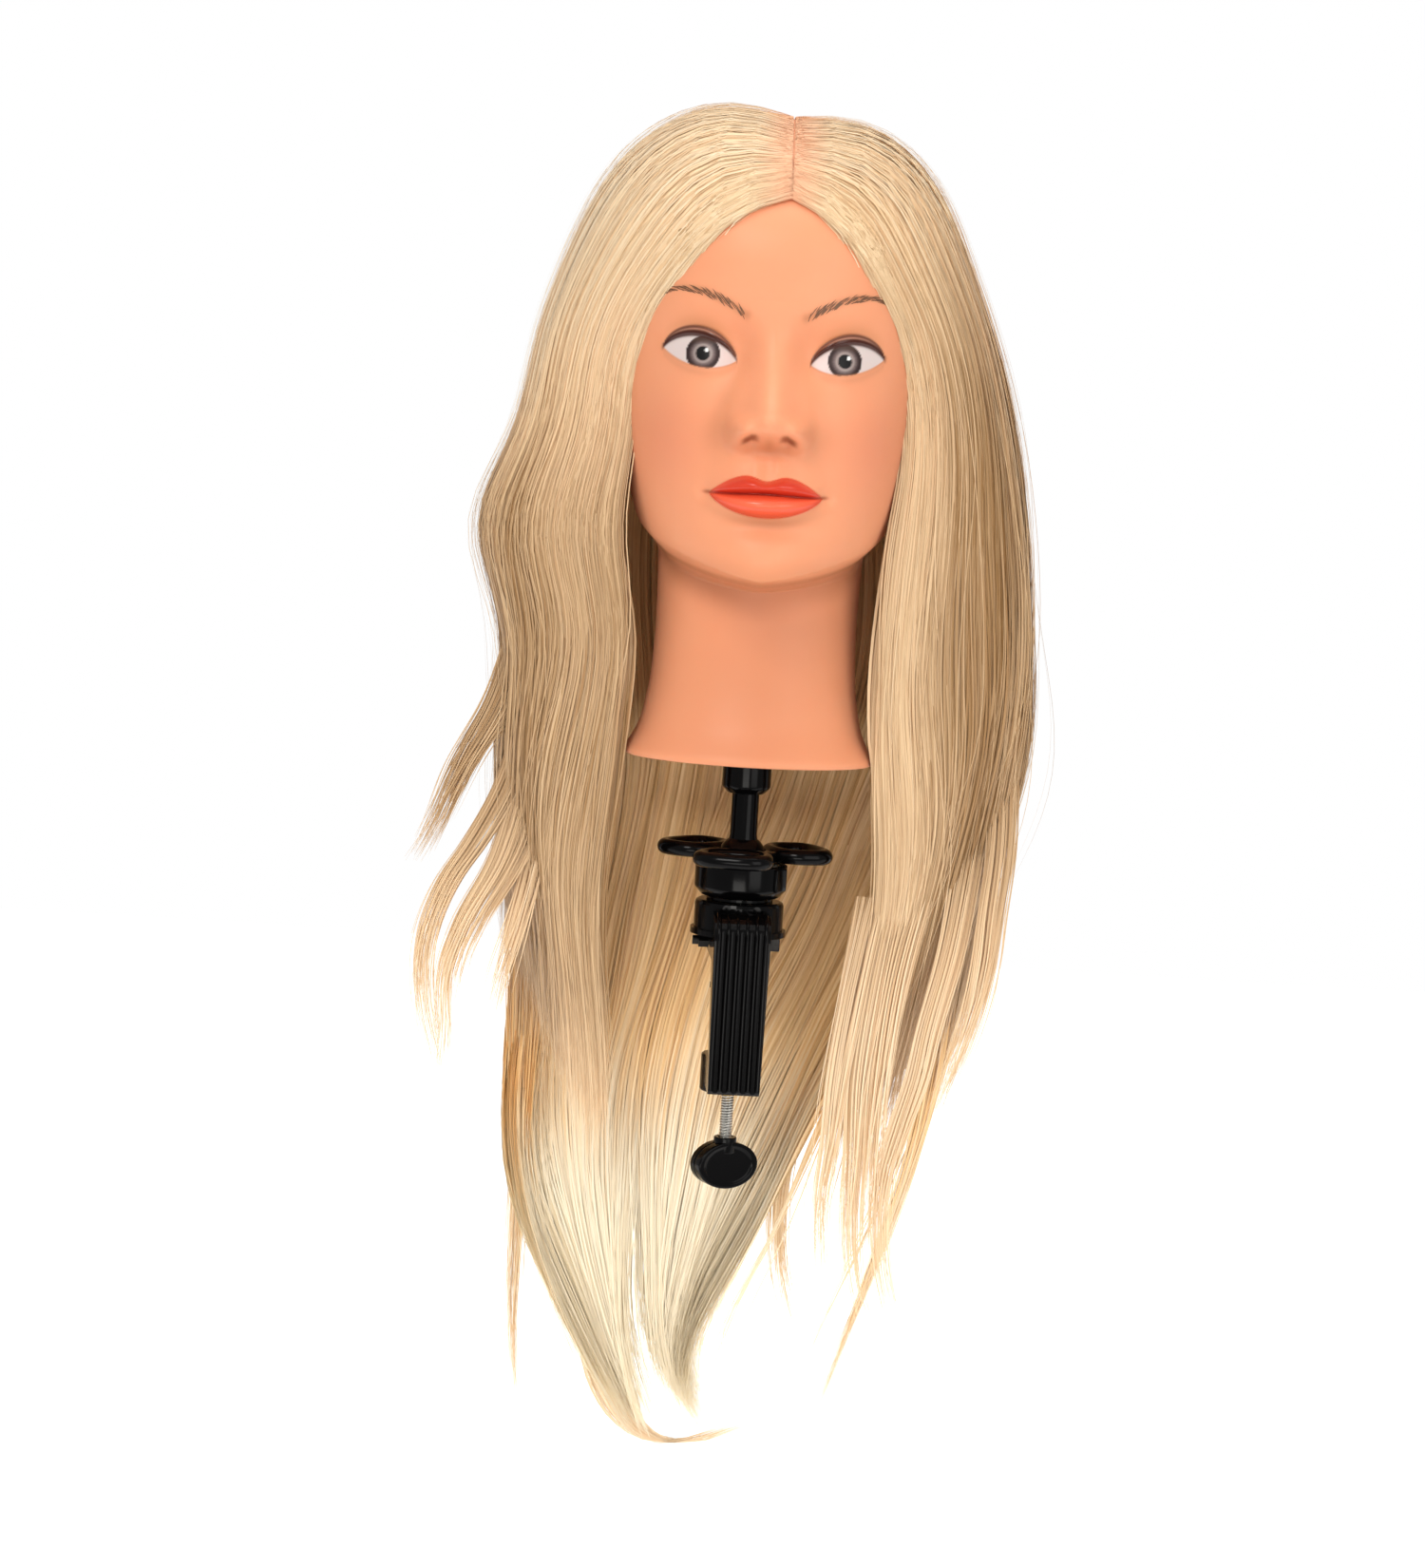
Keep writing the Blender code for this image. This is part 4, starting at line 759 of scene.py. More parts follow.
# The two long locks behind the clamp: their inner and outer edges, as signed x
LOCK_IN = {
    -1: table((350, 4), (94, 4), (40, -10), (-17, -31), (-66, -51), (-112, -52), (-154, -49), (-200, -46),
              (-240, -38), (-266, -22), (-290, -6)),
    1: table((350, -4), (94, -4), (40, -14), (-17, -31), (-66, -46), (-98, -43), (-132, -40), (-172, -38),
             (-202, -37), (-241, -30), (-258, -2), (-290, 30)),
}
LOCK_OUT = {
    -1: table((350, -90), (94, -122), (40, -117), (-17, -105), (-66, -107), (-112, -114), (-132, -108),
              (-154, -99), (-177, -79), (-224, -58), (-252, -44), (-266, -27), (-290, -12)),
    1: table((350, 90), (94, 120), (40, 108), (-17, 80), (-66, 50), (-98, 38), (-132, 22), (-172, 5),
             (-202, -15), (-241, -22), (-258, 6), (-290, 34)),
}


def skull_scale(x, y, z):
    """How many times farther out than the bare head (without its features) each point lies."""
    face = [smooth_interp(z, FACE_STATIONS, c) for c in (1, 2, 3)]
    neck = [smooth_interp(z, NECK_STATIONS, c) for c in (1, 2, 3)]
    blend = face_share(np.abs(np.degrees(np.arctan2(x, -y))), z)
    half = neck[0] + (face[0] - neck[0]) * blend
    reach = np.where(y < 0, neck[1] + (face[1] - neck[1]) * blend, neck[2] + (face[2] - neck[2]) * blend)
    t = np.maximum(0.0, (z - TEMPLE_Z) / (CROWN_Z - TEMPLE_Z))
    flat = ((np.abs(x) / half) ** FACE_POWER + (np.abs(y) / reach) ** FACE_POWER) ** (2 / FACE_POWER)
    return np.sqrt(flat + t * t)


def keep_off_skin(path, margin):
    """Moves points that are inside the head, or closer than the margin, out to the margin."""
    x, y, z = path[..., 0], path[..., 1], path[..., 2]
    far_out = 9.0
    scale = np.where(z > NECK_Z - 0.004, skull_scale(x, y, z), far_out)
    typical_radius = 0.075
    wanted = 1 + margin / typical_radius
    push = np.where(scale < wanted, wanted / np.maximum(scale, 0.05), 1.0)
    path[..., 0] = x * push
    path[..., 1] = y * push
    lift = np.maximum(0.0, z - TEMPLE_Z)
    path[..., 2] = z + lift * (push - 1)
    return path


def border_y(side, z):
    """The hair's inner front edge lies on the skin above the cheek, and hangs free below it."""
    x = EDGE_X[side](z)
    half, reach = smooth_interp(z, FACE_STATIONS, 1), smooth_interp(z, FACE_STATIONS, 2)
    t = np.clip((z - TEMPLE_Z) / (CROWN_Z - TEMPLE_Z), 0, 1)
    dome = np.sqrt(1 - t * t)
    share = np.clip(x / (half * dome), 0, 0.97) ** FACE_POWER
    on_skin = -reach * dome * (1 - share) ** (1 / FACE_POWER) - 0.0022
    return EDGE_Y(z) + (on_skin - EDGE_Y(z)) * smoothstep(z, 0.235, 0.262)


def spread_knots(share, knots, values):
    """Smooth interpolation through values (arrays) placed at the knots."""
    out = np.zeros(np.broadcast(share, values[0]).shape)
    last = len(knots) - 1
    slopes = []
    for i in range(last + 1):
        a, b = max(i - 1, 0), min(i + 1, last)
        slopes.append((values[b] - values[a]) / (knots[b] - knots[a]))
    for i in range(last):
        low, high = knots[i], knots[i + 1]
        inside = (share >= low) & ((share < high) | (i == last - 1))
        t = np.clip((share - low) / (high - low), 0, 1)
        piece = hermite(t, high - low, values[i], values[i + 1], slopes[i], slopes[i + 1])
        out = np.where(inside, piece, out)
    return out


def head_section(side, share, z):
    """The hair's outer surface round the head: share 0 at the face border, 1 at the back's middle."""
    edge_x, edge_y = EDGE_X[side](z), border_y(side, z)
    reach, back = REACH_X[side](z), BACK_Y(z)
    widest_y = 0.004
    knots = (0.0, 0.14, FRINGE_SHARE, 0.62, 0.82, 1.0)
    xs = (edge_x, edge_x + 0.62 * (reach - edge_x), reach, 0.80 * reach, 0.42 * reach, 0.0)
    ys = (edge_y, edge_y + 0.34 * (widest_y - edge_y) - 0.006, widest_y, 0.70 * back, 0.955 * back, back)
    return side * spread_knots(share, knots, xs), spread_knots(share, knots, ys)


def fall_section(side, share, z):
    """The hair's outer surface below the neck: a thin fringe in front, a long lock behind."""
    edge_x, edge_y = EDGE_X[side](z), EDGE_Y(z)
    reach, back = REACH_X[side](z), BACK_Y(z)
    w = np.clip(share / FRINGE_SHARE, 0, 1)
    fringe_x = side * (edge_x + (reach - edge_x) * w ** 0.62)
    fringe_y = edge_y + (0.030 + 0.12 * np.clip(0.094 - z, 0, 0.2)) * w ** 1.3
    w = np.clip((share - FRINGE_SHARE) / (1 - FRINGE_SHARE), 0, 1)
    lock_in, lock_out = LOCK_IN[side](z), LOCK_OUT[side](z)
    lock_x = lock_out + (lock_in - lock_out) * w ** 1.15
    lock_y = back * (0.72 + 0.28 * np.sin(np.pi / 2 * np.clip(w * 2.2, 0, 1)))
    behind = share > FRINGE_SHARE
    return np.where(behind, lock_x, fringe_x), np.where(behind, lock_y, fringe_y)


def hair_section(side, share, z):
    head_x, head_y = head_section(side, share, z)
    fall_x, fall_y = fall_section(side, share, z)
    low = 1 - smoothstep(z, 0.040, 0.150)
    return head_x + (fall_x - head_x) * low, head_y + (fall_y - head_y) * low


def part_point(share):
    """Where a strand leaves the parting: share 0 at the hairline, 1 behind the crown."""
    y = -0.0790 + 0.136 * share ** 0.85
    reach = np.where(y < 0, 0.088, 0.096)
    z = TEMPLE_Z + (CROWN_Z - TEMPLE_Z) * np.sqrt(np.clip(1 - (y / reach) ** 2 - (PART_X / 0.072) ** 2, 0, 1))
    return np.full_like(y, PART_X), y, z + 0.0006 + PART_RISE * smoothstep(share, 0.02, 0.42)


SAMPLES = 36                  # points along a strand
ARC_STEPS = 14
LEVELS = np.array((0.322, 0.312, 0.300, 0.288, 0.274, 0.258, 0.240, 0.222, 0.204, 0.186, 0.168, 0.150, 0.132,
                   0.114, 0.096, 0.076, 0.054, 0.030, 0.004, -0.022, -0.050, -0.078, -0.106, -0.134, -0.162,
                   -0.190, -0.216, -0.238, -0.256, -0.274))


def base_paths(side, share, depth):
    """Centre lines over the head and down, before they are cut to length."""
    count = len(share)
    share_c = share[:, None]
    f = (np.linspace(0, 1, ARC_STEPS) ** 1.25)[None, :]
    part_x, part_y, part_z = (value[:, None] for value in part_point(share))
    spring = np.full((count, 1), SPRING_Z)
    side_x, side_y = hair_section(side, share_c, spring)
    rise = smoothstep(f, 0.0, 0.26) * (1 - smoothstep(f, 0.45, 0.95))
    lift = (0.0085 if side < 0 else 0.0055) * rise * smoothstep(share_c, 0.0, 0.22)
    arc_x = part_x + side * 0.0004 + (side_x - part_x - side * 0.0004) * f
    arc_y = part_y + (side_y - part_y) * f ** 1.15
    dome = np.sqrt(np.clip(1 - f ** (2.35 if side < 0 else 2.2), 0, 1))
    arc_z = spring + (part_z - spring) * dome + lift
    lower_z = np.broadcast_to(LEVELS[None, :], (count, len(LEVELS)))
    lower_x, lower_y = hair_section(side, share_c, lower_z)
    over_head = np.stack([arc_x, arc_y, arc_z], axis=-1)
    below = np.stack([lower_x, lower_y, lower_z], axis=-1)
    path = np.concatenate([over_head, below], axis=1)
    inward = depth[:, None] * np.hstack([0.10 + 0.90 * np.broadcast_to(f, (count, ARC_STEPS)),
                                         np.ones((count, len(LEVELS)))])
    centre_y = np.where(path[..., 2] > 0.09, 0.010, np.where(share_c > FRINGE_SHARE, -0.030, 0.020))
    outward_x = path[..., 0] * np.where(path[..., 2] > 0.05, 1.0, 0.4)
    radial = unit(np.stack([outward_x, path[..., 1] - centre_y], axis=-1), 1e-6)
    path[..., :2] -= radial * inward[..., None]
    path[..., 2] -= inward * 0.6 * (path[..., 2] > SPRING_Z)
    soften(path)
    return path


def strand_paths(side, share, depth, end_z, root, rng, wave=1.0, wander=1.0, samples=SAMPLES):
    """Strands from the parting to their tips, how far along each sample is, and the way across each."""
    count = len(share)
    share_c = share[:, None]
    path = base_paths(side, share, depth)
    nudge = 0.006
    spread = (base_paths(side, np.minimum(share + nudge, 1.0), depth)
              - base_paths(side, np.maximum(share - nudge, 0.0), depth))

    # Cut each strand at its own root and end height, with the samples evenly spaced along it
    step = np.linalg.norm(np.diff(path, axis=1), axis=-1)
    length = np.hstack([np.zeros((count, 1)), np.cumsum(step, axis=1)])
    out = np.zeros((count, samples, 3))
    across = np.zeros((count, samples, 3))
    along = np.zeros((count, samples))
    for i in range(count):
        stop = np.interp(-end_z[i], -path[i, ARC_STEPS:, 2], length[i, ARC_STEPS:])
        places = root[i] + (stop - root[i]) * np.linspace(0, 1, samples) ** 0.92
        along[i] = places
        for k in range(3):
            out[i, :, k] = np.interp(places, length[i], path[i, :, k])
            across[i, :, k] = np.interp(places, length[i], spread[i, :, k])
    soften(out)
    soften(across)

    # Long soft waves shared by neighbours, then a little of each strand's own wander
    fall = smoothstep(-out[..., 2], -0.34, -0.02)
    s = along / 0.6
    phase = 9.0 * share_c + 2.0 * side
    sway = 0.0030 * wave * fall * np.sin(2 * np.pi * 1.5 * s + phase)
    ripple = 0.0012 * wave * fall * np.sin(2 * np.pi * 3.9 * s + 2.6 * phase)
    own = rng.uniform(0, 2 * np.pi, (count, 1))
    size = np.clip(rng.normal(0, 1, (count, 1)), -2.2, 2.2)
    stray = 0.0022 * wander * fall * size * np.sin(2 * np.pi * (0.8 + 0.4 * np.abs(size)) * s + own)
    out[..., 0] += sway + ripple + stray
    out[..., 1] += 0.6 * sway - 0.5 * ripple + 0.7 * stray * np.cos(own)
    if side < 0:
        swell = 0.0036 * np.sin((out[..., 2] - 0.165) * 58) * bell(out[..., 2], 0.205, 0.055)
        out[..., 0] -= swell * (share_c < 0.5)
        out[..., 1] -= 0.8 * swell * (share_c < 0.5)
    return keep_off_skin(out, 0.0008 + 0.0012 * rng.uniform(0, 1, (count, 1))), along, across


def clump(paths, share, size, strength, rng):
    """Pulls strands towards the middle line of their clump, more towards the tips."""
    groups = np.array_split(np.argsort(share), max(1, len(share) // size))
    ramp = smoothstep(np.linspace(0, 1, paths.shape[1]), 0.30, 1.0)[None, :, None] ** 1.3
    for group in groups:
        centre = paths[group].mean(axis=0, keepdims=True)
        pull = np.clip(strength * rng.uniform(0.3, 1.2) * ramp, 0, 0.95)
        paths[group] += (centre - paths[group]) * pull
    return paths


def ribbons(name, paths, across, width, shade, rng, material, along, twist=0.22):
    """Flat tapering ribbons along the paths, lying in the surface of the hair."""
    count, samples, _ = paths.shape
    tangent = unit(np.gradient(paths, axis=1))
    across = unit(across - tangent * np.sum(across * tangent, axis=-1, keepdims=True))
    normal = np.cross(across, tangent)
    roll = rng.normal(0, twist, (count, 1)) + 0.5 * twist * np.sin(np.linspace(0, 5, samples))[None, :]
    roll = roll[..., None]
    across = across * np.cos(roll) + normal * np.sin(roll)
    s = np.linspace(0, 1, samples)[None, :]
    taper = np.clip(0.30 + s * 9, 0, 1) * np.clip((1.02 - s) / 0.40, 0.05, 1) ** 0.8
    half = (width[:, None] * taper)[..., None] / 2
    points = np.stack([paths - across * half, paths + across * half], axis=2).reshape(-1, 3)
    base = (np.arange(count) * samples * 2)[:, None]
    a = base + 2 * np.arange(samples - 1)[None, :]
    quads = np.stack([a, a + 1, a + 3, a + 2], axis=-1).reshape(-1, 4)
    mesh = fast_mesh(name, points, quads)
    set_attribute(mesh, "shade", np.repeat(shade, 2, axis=1).ravel())
    flow = np.zeros((count, samples, 2, 3))
    flow[..., 0] = (np.arange(count) * 13.7)[:, None, None] + np.array((0.0, 4.0))
    flow[..., 1] = (along * 14.0)[:, :, None]
    set_attribute(mesh, "flow", flow.reshape(-1, 3), "FLOAT_VECTOR")
    set_attribute(mesh, "scalp", np.repeat(scalp_tint(paths, along), 2, axis=1).ravel())
    uv = mesh.uv_layers.new(name="along")
    coords = np.zeros((count, samples - 1, 4, 2))
    coords[..., 1] = np.array((0.0, 1.0, 1.0, 0.0))
    steps = np.arange(samples - 1) / samples
    coords[..., :2, 0] = steps[None, :, None]
    coords[..., 2:, 0] = steps[None, :, None] + 1 / samples
    uv.data.foreach_set("uv", coords.astype(np.float32).ravel())
    obj = add_object(name, mesh)
    obj.data.materials.append(material)
    return obj


def scalp_tint(paths, along):
    """How much of the scalp's colour shows between the strands: at the roots and along the hairline."""
    near_part = bell(paths[..., 0], PART_X, 0.0060) * smoothstep(paths[..., 2], 0.335, 0.350)
    front = bell(paths[..., 1], -0.070, 0.040) * 0.5 + 0.5
    return np.clip(0.85 * near_part * front + 0.5 * np.exp(-(along / 0.007) ** 2), 0, 1)


def hang(obj, *nodes):
    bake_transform(obj)
    if nodes:
        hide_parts(*nodes)


def fringe_ends(side, share, rng):
    """End heights of the strands in front of the ears: outer ones are short and ragged."""
    w = share / FRINGE_SHARE
    pick = rng.normal(0, 1, len(share))
    long_ones = rng.uniform(0, 1, len(share)) < (0.02 if side < 0 else 0.05)
    if side < 0:
        ends = -0.070 + 0.105 * w + (0.026 + 0.010 * w) * pick
    else:
        ends = -0.062 + 0.045 * w + 0.030 * pick
    ends = np.where(long_ones, ends - rng.uniform(0.01, 0.10, len(share)), ends)
    return np.clip(ends, -0.190, 0.070)


def lock_ends(side, share, rng):
    """End heights of the strands in the long locks behind: the longest run to the tip."""
    lowest = -0.262 if side < 0 else -0.256
    ends = lowest + 0.150 * np.abs(rng.normal(0, 0.50, len(share))) ** 1.2
    return np.minimum(ends, -0.040)


def strand_shades(tone, share, depth, z, side, rng):
    """Brightness of each sample: the strand's own tone, with painted shade deep inside the hair and beside
    the neck, and lock tips that are partly the hair's own paler ends and partly painted light.
    """
    s = np.linspace(0, 1, SAMPLES)[None, :]
    own = rng.normal(0, 0.06, (len(share), 1))
    band = 0.08 * np.sin(31 * share + 3 * side)[:, None] * np.cos(2.5 * s + 9 * share[:, None])
    in_front = (1 - smoothstep(share, FRINGE_SHARE - 0.02, FRINGE_SHARE + 0.04))[:, None]
    # Painted shade on the hair in front, in a band beside the neck; on the right it is lighter near the face.
    if side < 0:
        shade_beside_neck = 0.44 * bell(z, 0.090, 0.140, 5) * in_front
    else:
        away = 0.45 + 0.55 * smoothstep(share, 0.02, 0.09)[:, None]
        shade_beside_neck = 0.50 * bell(z, 0.125, 0.165, 5) * in_front * away
    # The locks behind grow paler towards their tips: partly the hair's own paler ends, partly painted light.
    pale_and_lit_tips = 0.60 * smoothstep(-z, 0.02, 0.20) * (1 - in_front)
    light = tone + own + band + 0.06 * s ** 2 + pale_and_lit_tips - shade_beside_neck
    # Painted shade on strands that lie deeper in the hair.
    return np.clip(light - 14.0 * np.maximum(depth, 0)[:, None] * smoothstep(z, -0.16, 0.04), 0, 1)


def make_strands(name, side, count, shares, depths, width, material, seed, tone, ends, clumping=0.5,
                 clump_size=22, wave=1.0, wander=1.0, root_spread=0.004, stray_edge=0.0):
    rng = np.random.default_rng(seed)
    low, high, bias = shares
    share = low + (high - low) * rng.uniform(0, 1, count) ** bias
    depth = rng.uniform(depths[0], depths[1], count)
    root = root_spread * rng.uniform(0, 1, count) ** 2
    ends_z = ends(side, share, rng)
    paths, along, across = strand_paths(side, share, depth, ends_z, root, rng, wave, wander)
    if stray_edge:
        reach = np.abs(rng.normal(0, stray_edge, (count, 1)))
        beside = bell(paths[..., 2], 0.296, 0.030) + 0.7 * bell(paths[..., 2], 0.190, 0.040)
        paths[..., 0] -= side * reach * beside
        paths[..., 1] -= 0.3 * reach * beside
    crossing = rng.normal(0, 0.006, (count, 1)) * smoothstep(share, 0.90, 1.0)[:, None]
    paths[..., 0] += crossing * smoothstep(-paths[..., 2], -0.345, -0.27)
    paths = clump(paths, share + rng.normal(0, 0.002, count), clump_size, clumping, rng)
    shade = strand_shades(tone, share, depth, paths[..., 2], side, rng)
    return ribbons(name, paths, across, width * rng.uniform(0.55, 1.3, count), shade, rng, material, along)


def hair_under_sheet(name, side, depth, material, shade_value):
    """A sheet just under the strands round the head, so that no skin shows between them."""
    columns, samples = 90, 60
    shares = np.linspace(0.03, 1, columns)
    rng = np.random.default_rng(3)
    flat = np.zeros(columns)
    ends = np.full(columns, 0.118)
    paths, along, _ = strand_paths(side, shares, flat + depth, ends, flat + 0.001, rng, 0.4, 0.0, samples)
    paths[..., 2] -= 0.0016 * smoothstep(paths[..., 2], 0.318, 0.345)
    mesh = mesh_from_grid(name, paths)
    set_attribute(mesh, "shade", np.full(len(mesh.vertices), shade_value))
    set_attribute(mesh, "scalp", scalp_tint(paths, along).ravel())
    flow = np.zeros((columns, samples, 3))
    flow[..., 0] = shares[:, None] * 260.0
    flow[..., 1] = along * 9.0
    set_attribute(mesh, "flow", flow.reshape(-1, 3), "FLOAT_VECTOR")
    uv = mesh.uv_layers.new(name="along")
    loops = np.zeros(len(mesh.loops), np.int32)
    mesh.loops.foreach_get("vertex_index", loops)
    coords = np.stack([(loops % samples) / samples, (loops // samples) / columns], axis=-1)
    uv.data.foreach_set("uv", coords.astype(np.float32).ravel())
    obj = add_object(name, mesh)
    obj.data.materials.append(material)
    return obj


# Loose wisps: strands in each, width at the start in mm, then points from root to tip in mm
LEFT_WISPS = (
    (170, 13, ((-96, 2, 175), (-108, 0, 140), (-116, -2, 112), (-130, -4, 82), (-141, -5, 54),
               (-151, -5, 34))),
    (110, 9, ((-98, 3, 140), (-104, 1, 102), (-112, 0, 72), (-125, -1, 45), (-135, -2, 28), (-144, -2, 0),
              (-145, -1, -18), (-136, 0, -64))),
    (90, 8, ((-95, 4, 130), (-101, 2, 92), (-106, 2, 67), (-113, 1, 39), (-128, 0, 6), (-134, 0, -17),
             (-133, 1, -46), (-134, 2, -70))),
    (70, 8, ((-92, 5, 110), (-97, 3, 74), (-101, 3, 47), (-108, 2, 30), (-119, 1, 9), (-127, 1, -12),
             (-131, 1, -35))),
    (60, 8, ((-92, 6, 80), (-97, 5, 40), (-103, 4, 8), (-109, 4, -18), (-113, 4, -40))),
)
RIGHT_WISPS = (
    (120, 10, ((118, 4, 100), (119, 4, 55), (117, 4, 23), (116, 4, 2), (113, 5, -20), (106, 6, -47),
               (97, 7, -73))),
    (90, 9, ((106, 8, 60), (99, 9, 5), (91, 10, -34), (88, 11, -55), (82, 12, -79), (77, 13, -102),
             (76, 14, -125), (82, 14, -163), (89, 14, -184))),
    (90, 9, ((84, 6, 40), (74, 8, -10), (70, 10, -57), (70, 12, -102), (72, 13, -141))),
    (80, 9, ((72, 4, 40), (64, 7, -12), (60, 9, -57), (61, 11, -95), (62, 12, -126), (66, 12, -157),
             (74, 12, -179))),
    (70, 9, ((62, 4, 30), (54, 7, -20), (50, 9, -58), (49, 11, -88), (47, 12, -119), (50, 12, -162))),
)
TIP_WISPS = (
    (190, 15, ((-90, 100, -70), (-92, 100, -110), (-80, 97, -150), (-65, 92, -184), (-57, 90, -210),
               (-49, 88, -234), (-37, 86, -250), (-25, 85, -257), (-9, 84, -257), (10, 84, -250),
               (20, 84, -246))),
    (110, 9, ((46, 100, 20), (43, 99, -20), (38, 97, -55), (33, 94, -92), (30, 92, -141), (35, 91, -182),
              (40, 90, -198))),
)


def knotted(knots, samples):
    """A smooth curve through knots given in millimetres."""
    points = np.array(knots, float) * MM
    step = np.linalg.norm(np.diff(points, axis=0), axis=1)
    length = np.concatenate([[0], np.cumsum(step)])
    places = np.linspace(0, length[-1], samples)
    columns = [smooth_interp(places, np.stack([length, points[:, k]], axis=1), 1) for k in range(3)]
    return np.stack(columns, axis=1), length[-1]


def make_wisps(name, wisps, material, seed, tone, width=0.0006):
    """Loose strands that leave the mass of hair along given curves and fray towards their tips."""
    rng = np.random.default_rng(seed)
    curve_points = 120
    all_paths, all_along = [], []
    for count, start_width, knots in wisps:
        centre, length = knotted(knots, curve_points)
        ends = np.clip(1 - np.abs(rng.normal(0, 0.22, count)), 0.35, 1.0)
        s = ends[:, None] * np.linspace(0, 1, SAMPLES)[None, :]
        marks = np.linspace(0, 1, curve_points)
        path = np.stack([np.interp(s, marks, centre[:, k]) for k in range(3)], axis=-1)
        turn = rng.uniform(0, 2 * np.pi, count)
        radius = start_width * MM * np.sqrt(rng.uniform(0, 1, count))
        fan = 0.9 - 0.55 * s + 0.15 * np.sin(6 * s + turn[:, None])
        path[..., 0] += (radius * np.cos(turn))[:, None] * fan
        path[..., 1] += 0.5 * (radius * np.sin(turn))[:, None] * fan
        bow = 0.0035 * rng.normal(0, 1, (count, 1)) * s ** 2
        path[..., 0] += bow * np.sin(3.0 * s + turn[:, None])
        path[..., 1] += 0.7 * bow * np.cos(2.0 * s + turn[:, None])
        all_paths.append(path)
        all_along.append(s * length + 0.15)
    paths, along = np.concatenate(all_paths), np.concatenate(all_along)
    count = len(paths)
    # Painted shade: the wisps are darker towards their roots, matching the shaded hair beside the neck.
    shade = tone + rng.normal(0, 0.07, (count, 1)) - 0.44 * smoothstep(paths[..., 2], -0.05, 0.10)
    shade = np.clip(shade, 0, 1)
    across = np.zeros_like(paths)
    across[..., 0] = 1.0
    obj = ribbons(name, paths, across, width * rng.uniform(0.5, 1.3, count), shade, rng, material, along)
    hang(obj)


def make_scalp_line():
    """The strip of scalp that shows along the parting."""
    columns, rows = 8, 60
    share = np.linspace(0.0, 1.0, rows)
    part_x, part_y, part_z = part_point(share)
    x = part_x[:, None] + np.linspace(-0.0050, 0.0050, columns)[None, :]
    drop = 0.0010 + 60.0 * (x - part_x[:, None]) ** 2
    points = np.stack([x, np.broadcast_to(part_y[:, None], x.shape), part_z[:, None] - drop], axis=-1)
    mesh = mesh_from_grid("scalp_line", points)
    obj = add_object("scalp_line", mesh)
    scalp = matt_material("scalp", linear(244, 166, 122), linear(252, 186, 144), 0.6, 900.0)
    obj.data.materials.append(scalp)
    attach(obj, "head")


def make_hair():
    strands = hair_material("blonde_strands", (164, 122, 74), (243, 209, 164), (255, 242, 214))
    under = hair_material("blonde_under", (186, 134, 84), (228, 184, 132), (244, 212, 166), 0.5)
    # A warmer, more golden copy of the strand colours: painted warm light bounced among the locks behind the
    # clamp.
    warm_bounce_strands = hair_material("blonde_strands_warm_bounce", (192, 136, 74), (253, 212, 150), (255, 243, 216))
    fringe, locks = (0.0, FRINGE_SHARE, 1.0), (FRINGE_SHARE, 1.0, 1.0)
    for side, word in ((-1, "left"), (1, "right")):
        sheet = hair_under_sheet(f"hair_under_{word}", side, 0.0040, under, 0.5)
        hang(sheet, f"hair_side_{word}", f"hair_fall_{word}")
        seed = 40 + 10 * side
        outer = make_strands(f"hair_fringe_{word}", side, 2600, fringe, (-0.0008, 0.0025), 0.0010,
                             strands, seed + 1, 0.60, fringe_ends, clumping=0.55, clump_size=34)
        hang(outer, f"hair_fall_back_{word}")
        inner = make_strands(f"hair_fringe_inner_{word}", side, 2600, (0.0, FRINGE_SHARE, 0.9),
                             (0.001, 0.009), 0.0011, strands, seed + 2, 0.54, fringe_ends,
                             clumping=0.6, clump_size=44)
        hang(inner)
        back = make_strands(f"hair_lock_{word}", side, 2600, locks, (-0.0005, 0.004), 0.0012,
                            warm_bounce_strands, seed + 3, 0.56, lock_ends, clumping=0.5, clump_size=30, wander=0.6)
        hang(back, *(("hair_back", "hair_cap") if side < 0 else ()))
        deep = make_strands(f"hair_lock_inner_{word}", side, 2600, (FRINGE_SHARE - 0.04, 1.0, 1.0),
                            (0.003, 0.020), 0.0014, warm_bounce_strands, seed + 4, 0.58, lock_ends,
                            clumping=0.4, wander=0.6)
        hang(deep)
        border = make_strands(f"hair_border_{word}", side, 700, (0.0, 0.07, 1.5), (-0.0005, 0.002), 0.0005,
                              strands, seed + 5, 0.60, fringe_ends, clumping=0.2, wander=0.6,
                              stray_edge=0.0034)
        hang(border)
        loose = make_strands(f"hair_loose_{word}", side, 320, (0.0, 1.0, 1.0), (-0.005, 0.001), 0.00035,
                             strands, seed + 6, 0.70, fringe_ends, clumping=0.0, wander=3.0)
        hang(loose)
    make_wisps("hair_wisps_left", LEFT_WISPS, strands, 81, 0.62)
    make_wisps("hair_wisps_right", RIGHT_WISPS, strands, 82, 0.60)
    make_wisps("hair_tips", TIP_WISPS, strands, 83, 0.64, 0.0008)


# ------------------------------------------------------------------ carried-over nodes

def dress_node(name, material):
    node = frame["nodes"][name]
    node.data.materials.clear()
    node.data.materials.append(material)


def rounded(profile, radius, steps=4):
    """The profile with each inner corner replaced by a small curve."""
    points = [np.array(p, float) for p in profile]
    out = [points[0]]
    for before, corner, after in zip(points, points[1:], points[2:]):
        reach_in, reach_out = np.linalg.norm(before - corner), np.linalg.norm(after - corner)
        cut = min(radius, 0.45 * reach_in, 0.45 * reach_out)
        start = corner + (before - corner) * cut / reach_in
        end = corner + (after - corner) * cut / reach_out
        for i in range(steps + 1):
            t = i / steps
            out.append((1 - t) ** 2 * start + 2 * t * (1 - t) * corner + t ** 2 * end)
    out.append(points[-1])
    return np.array(out)


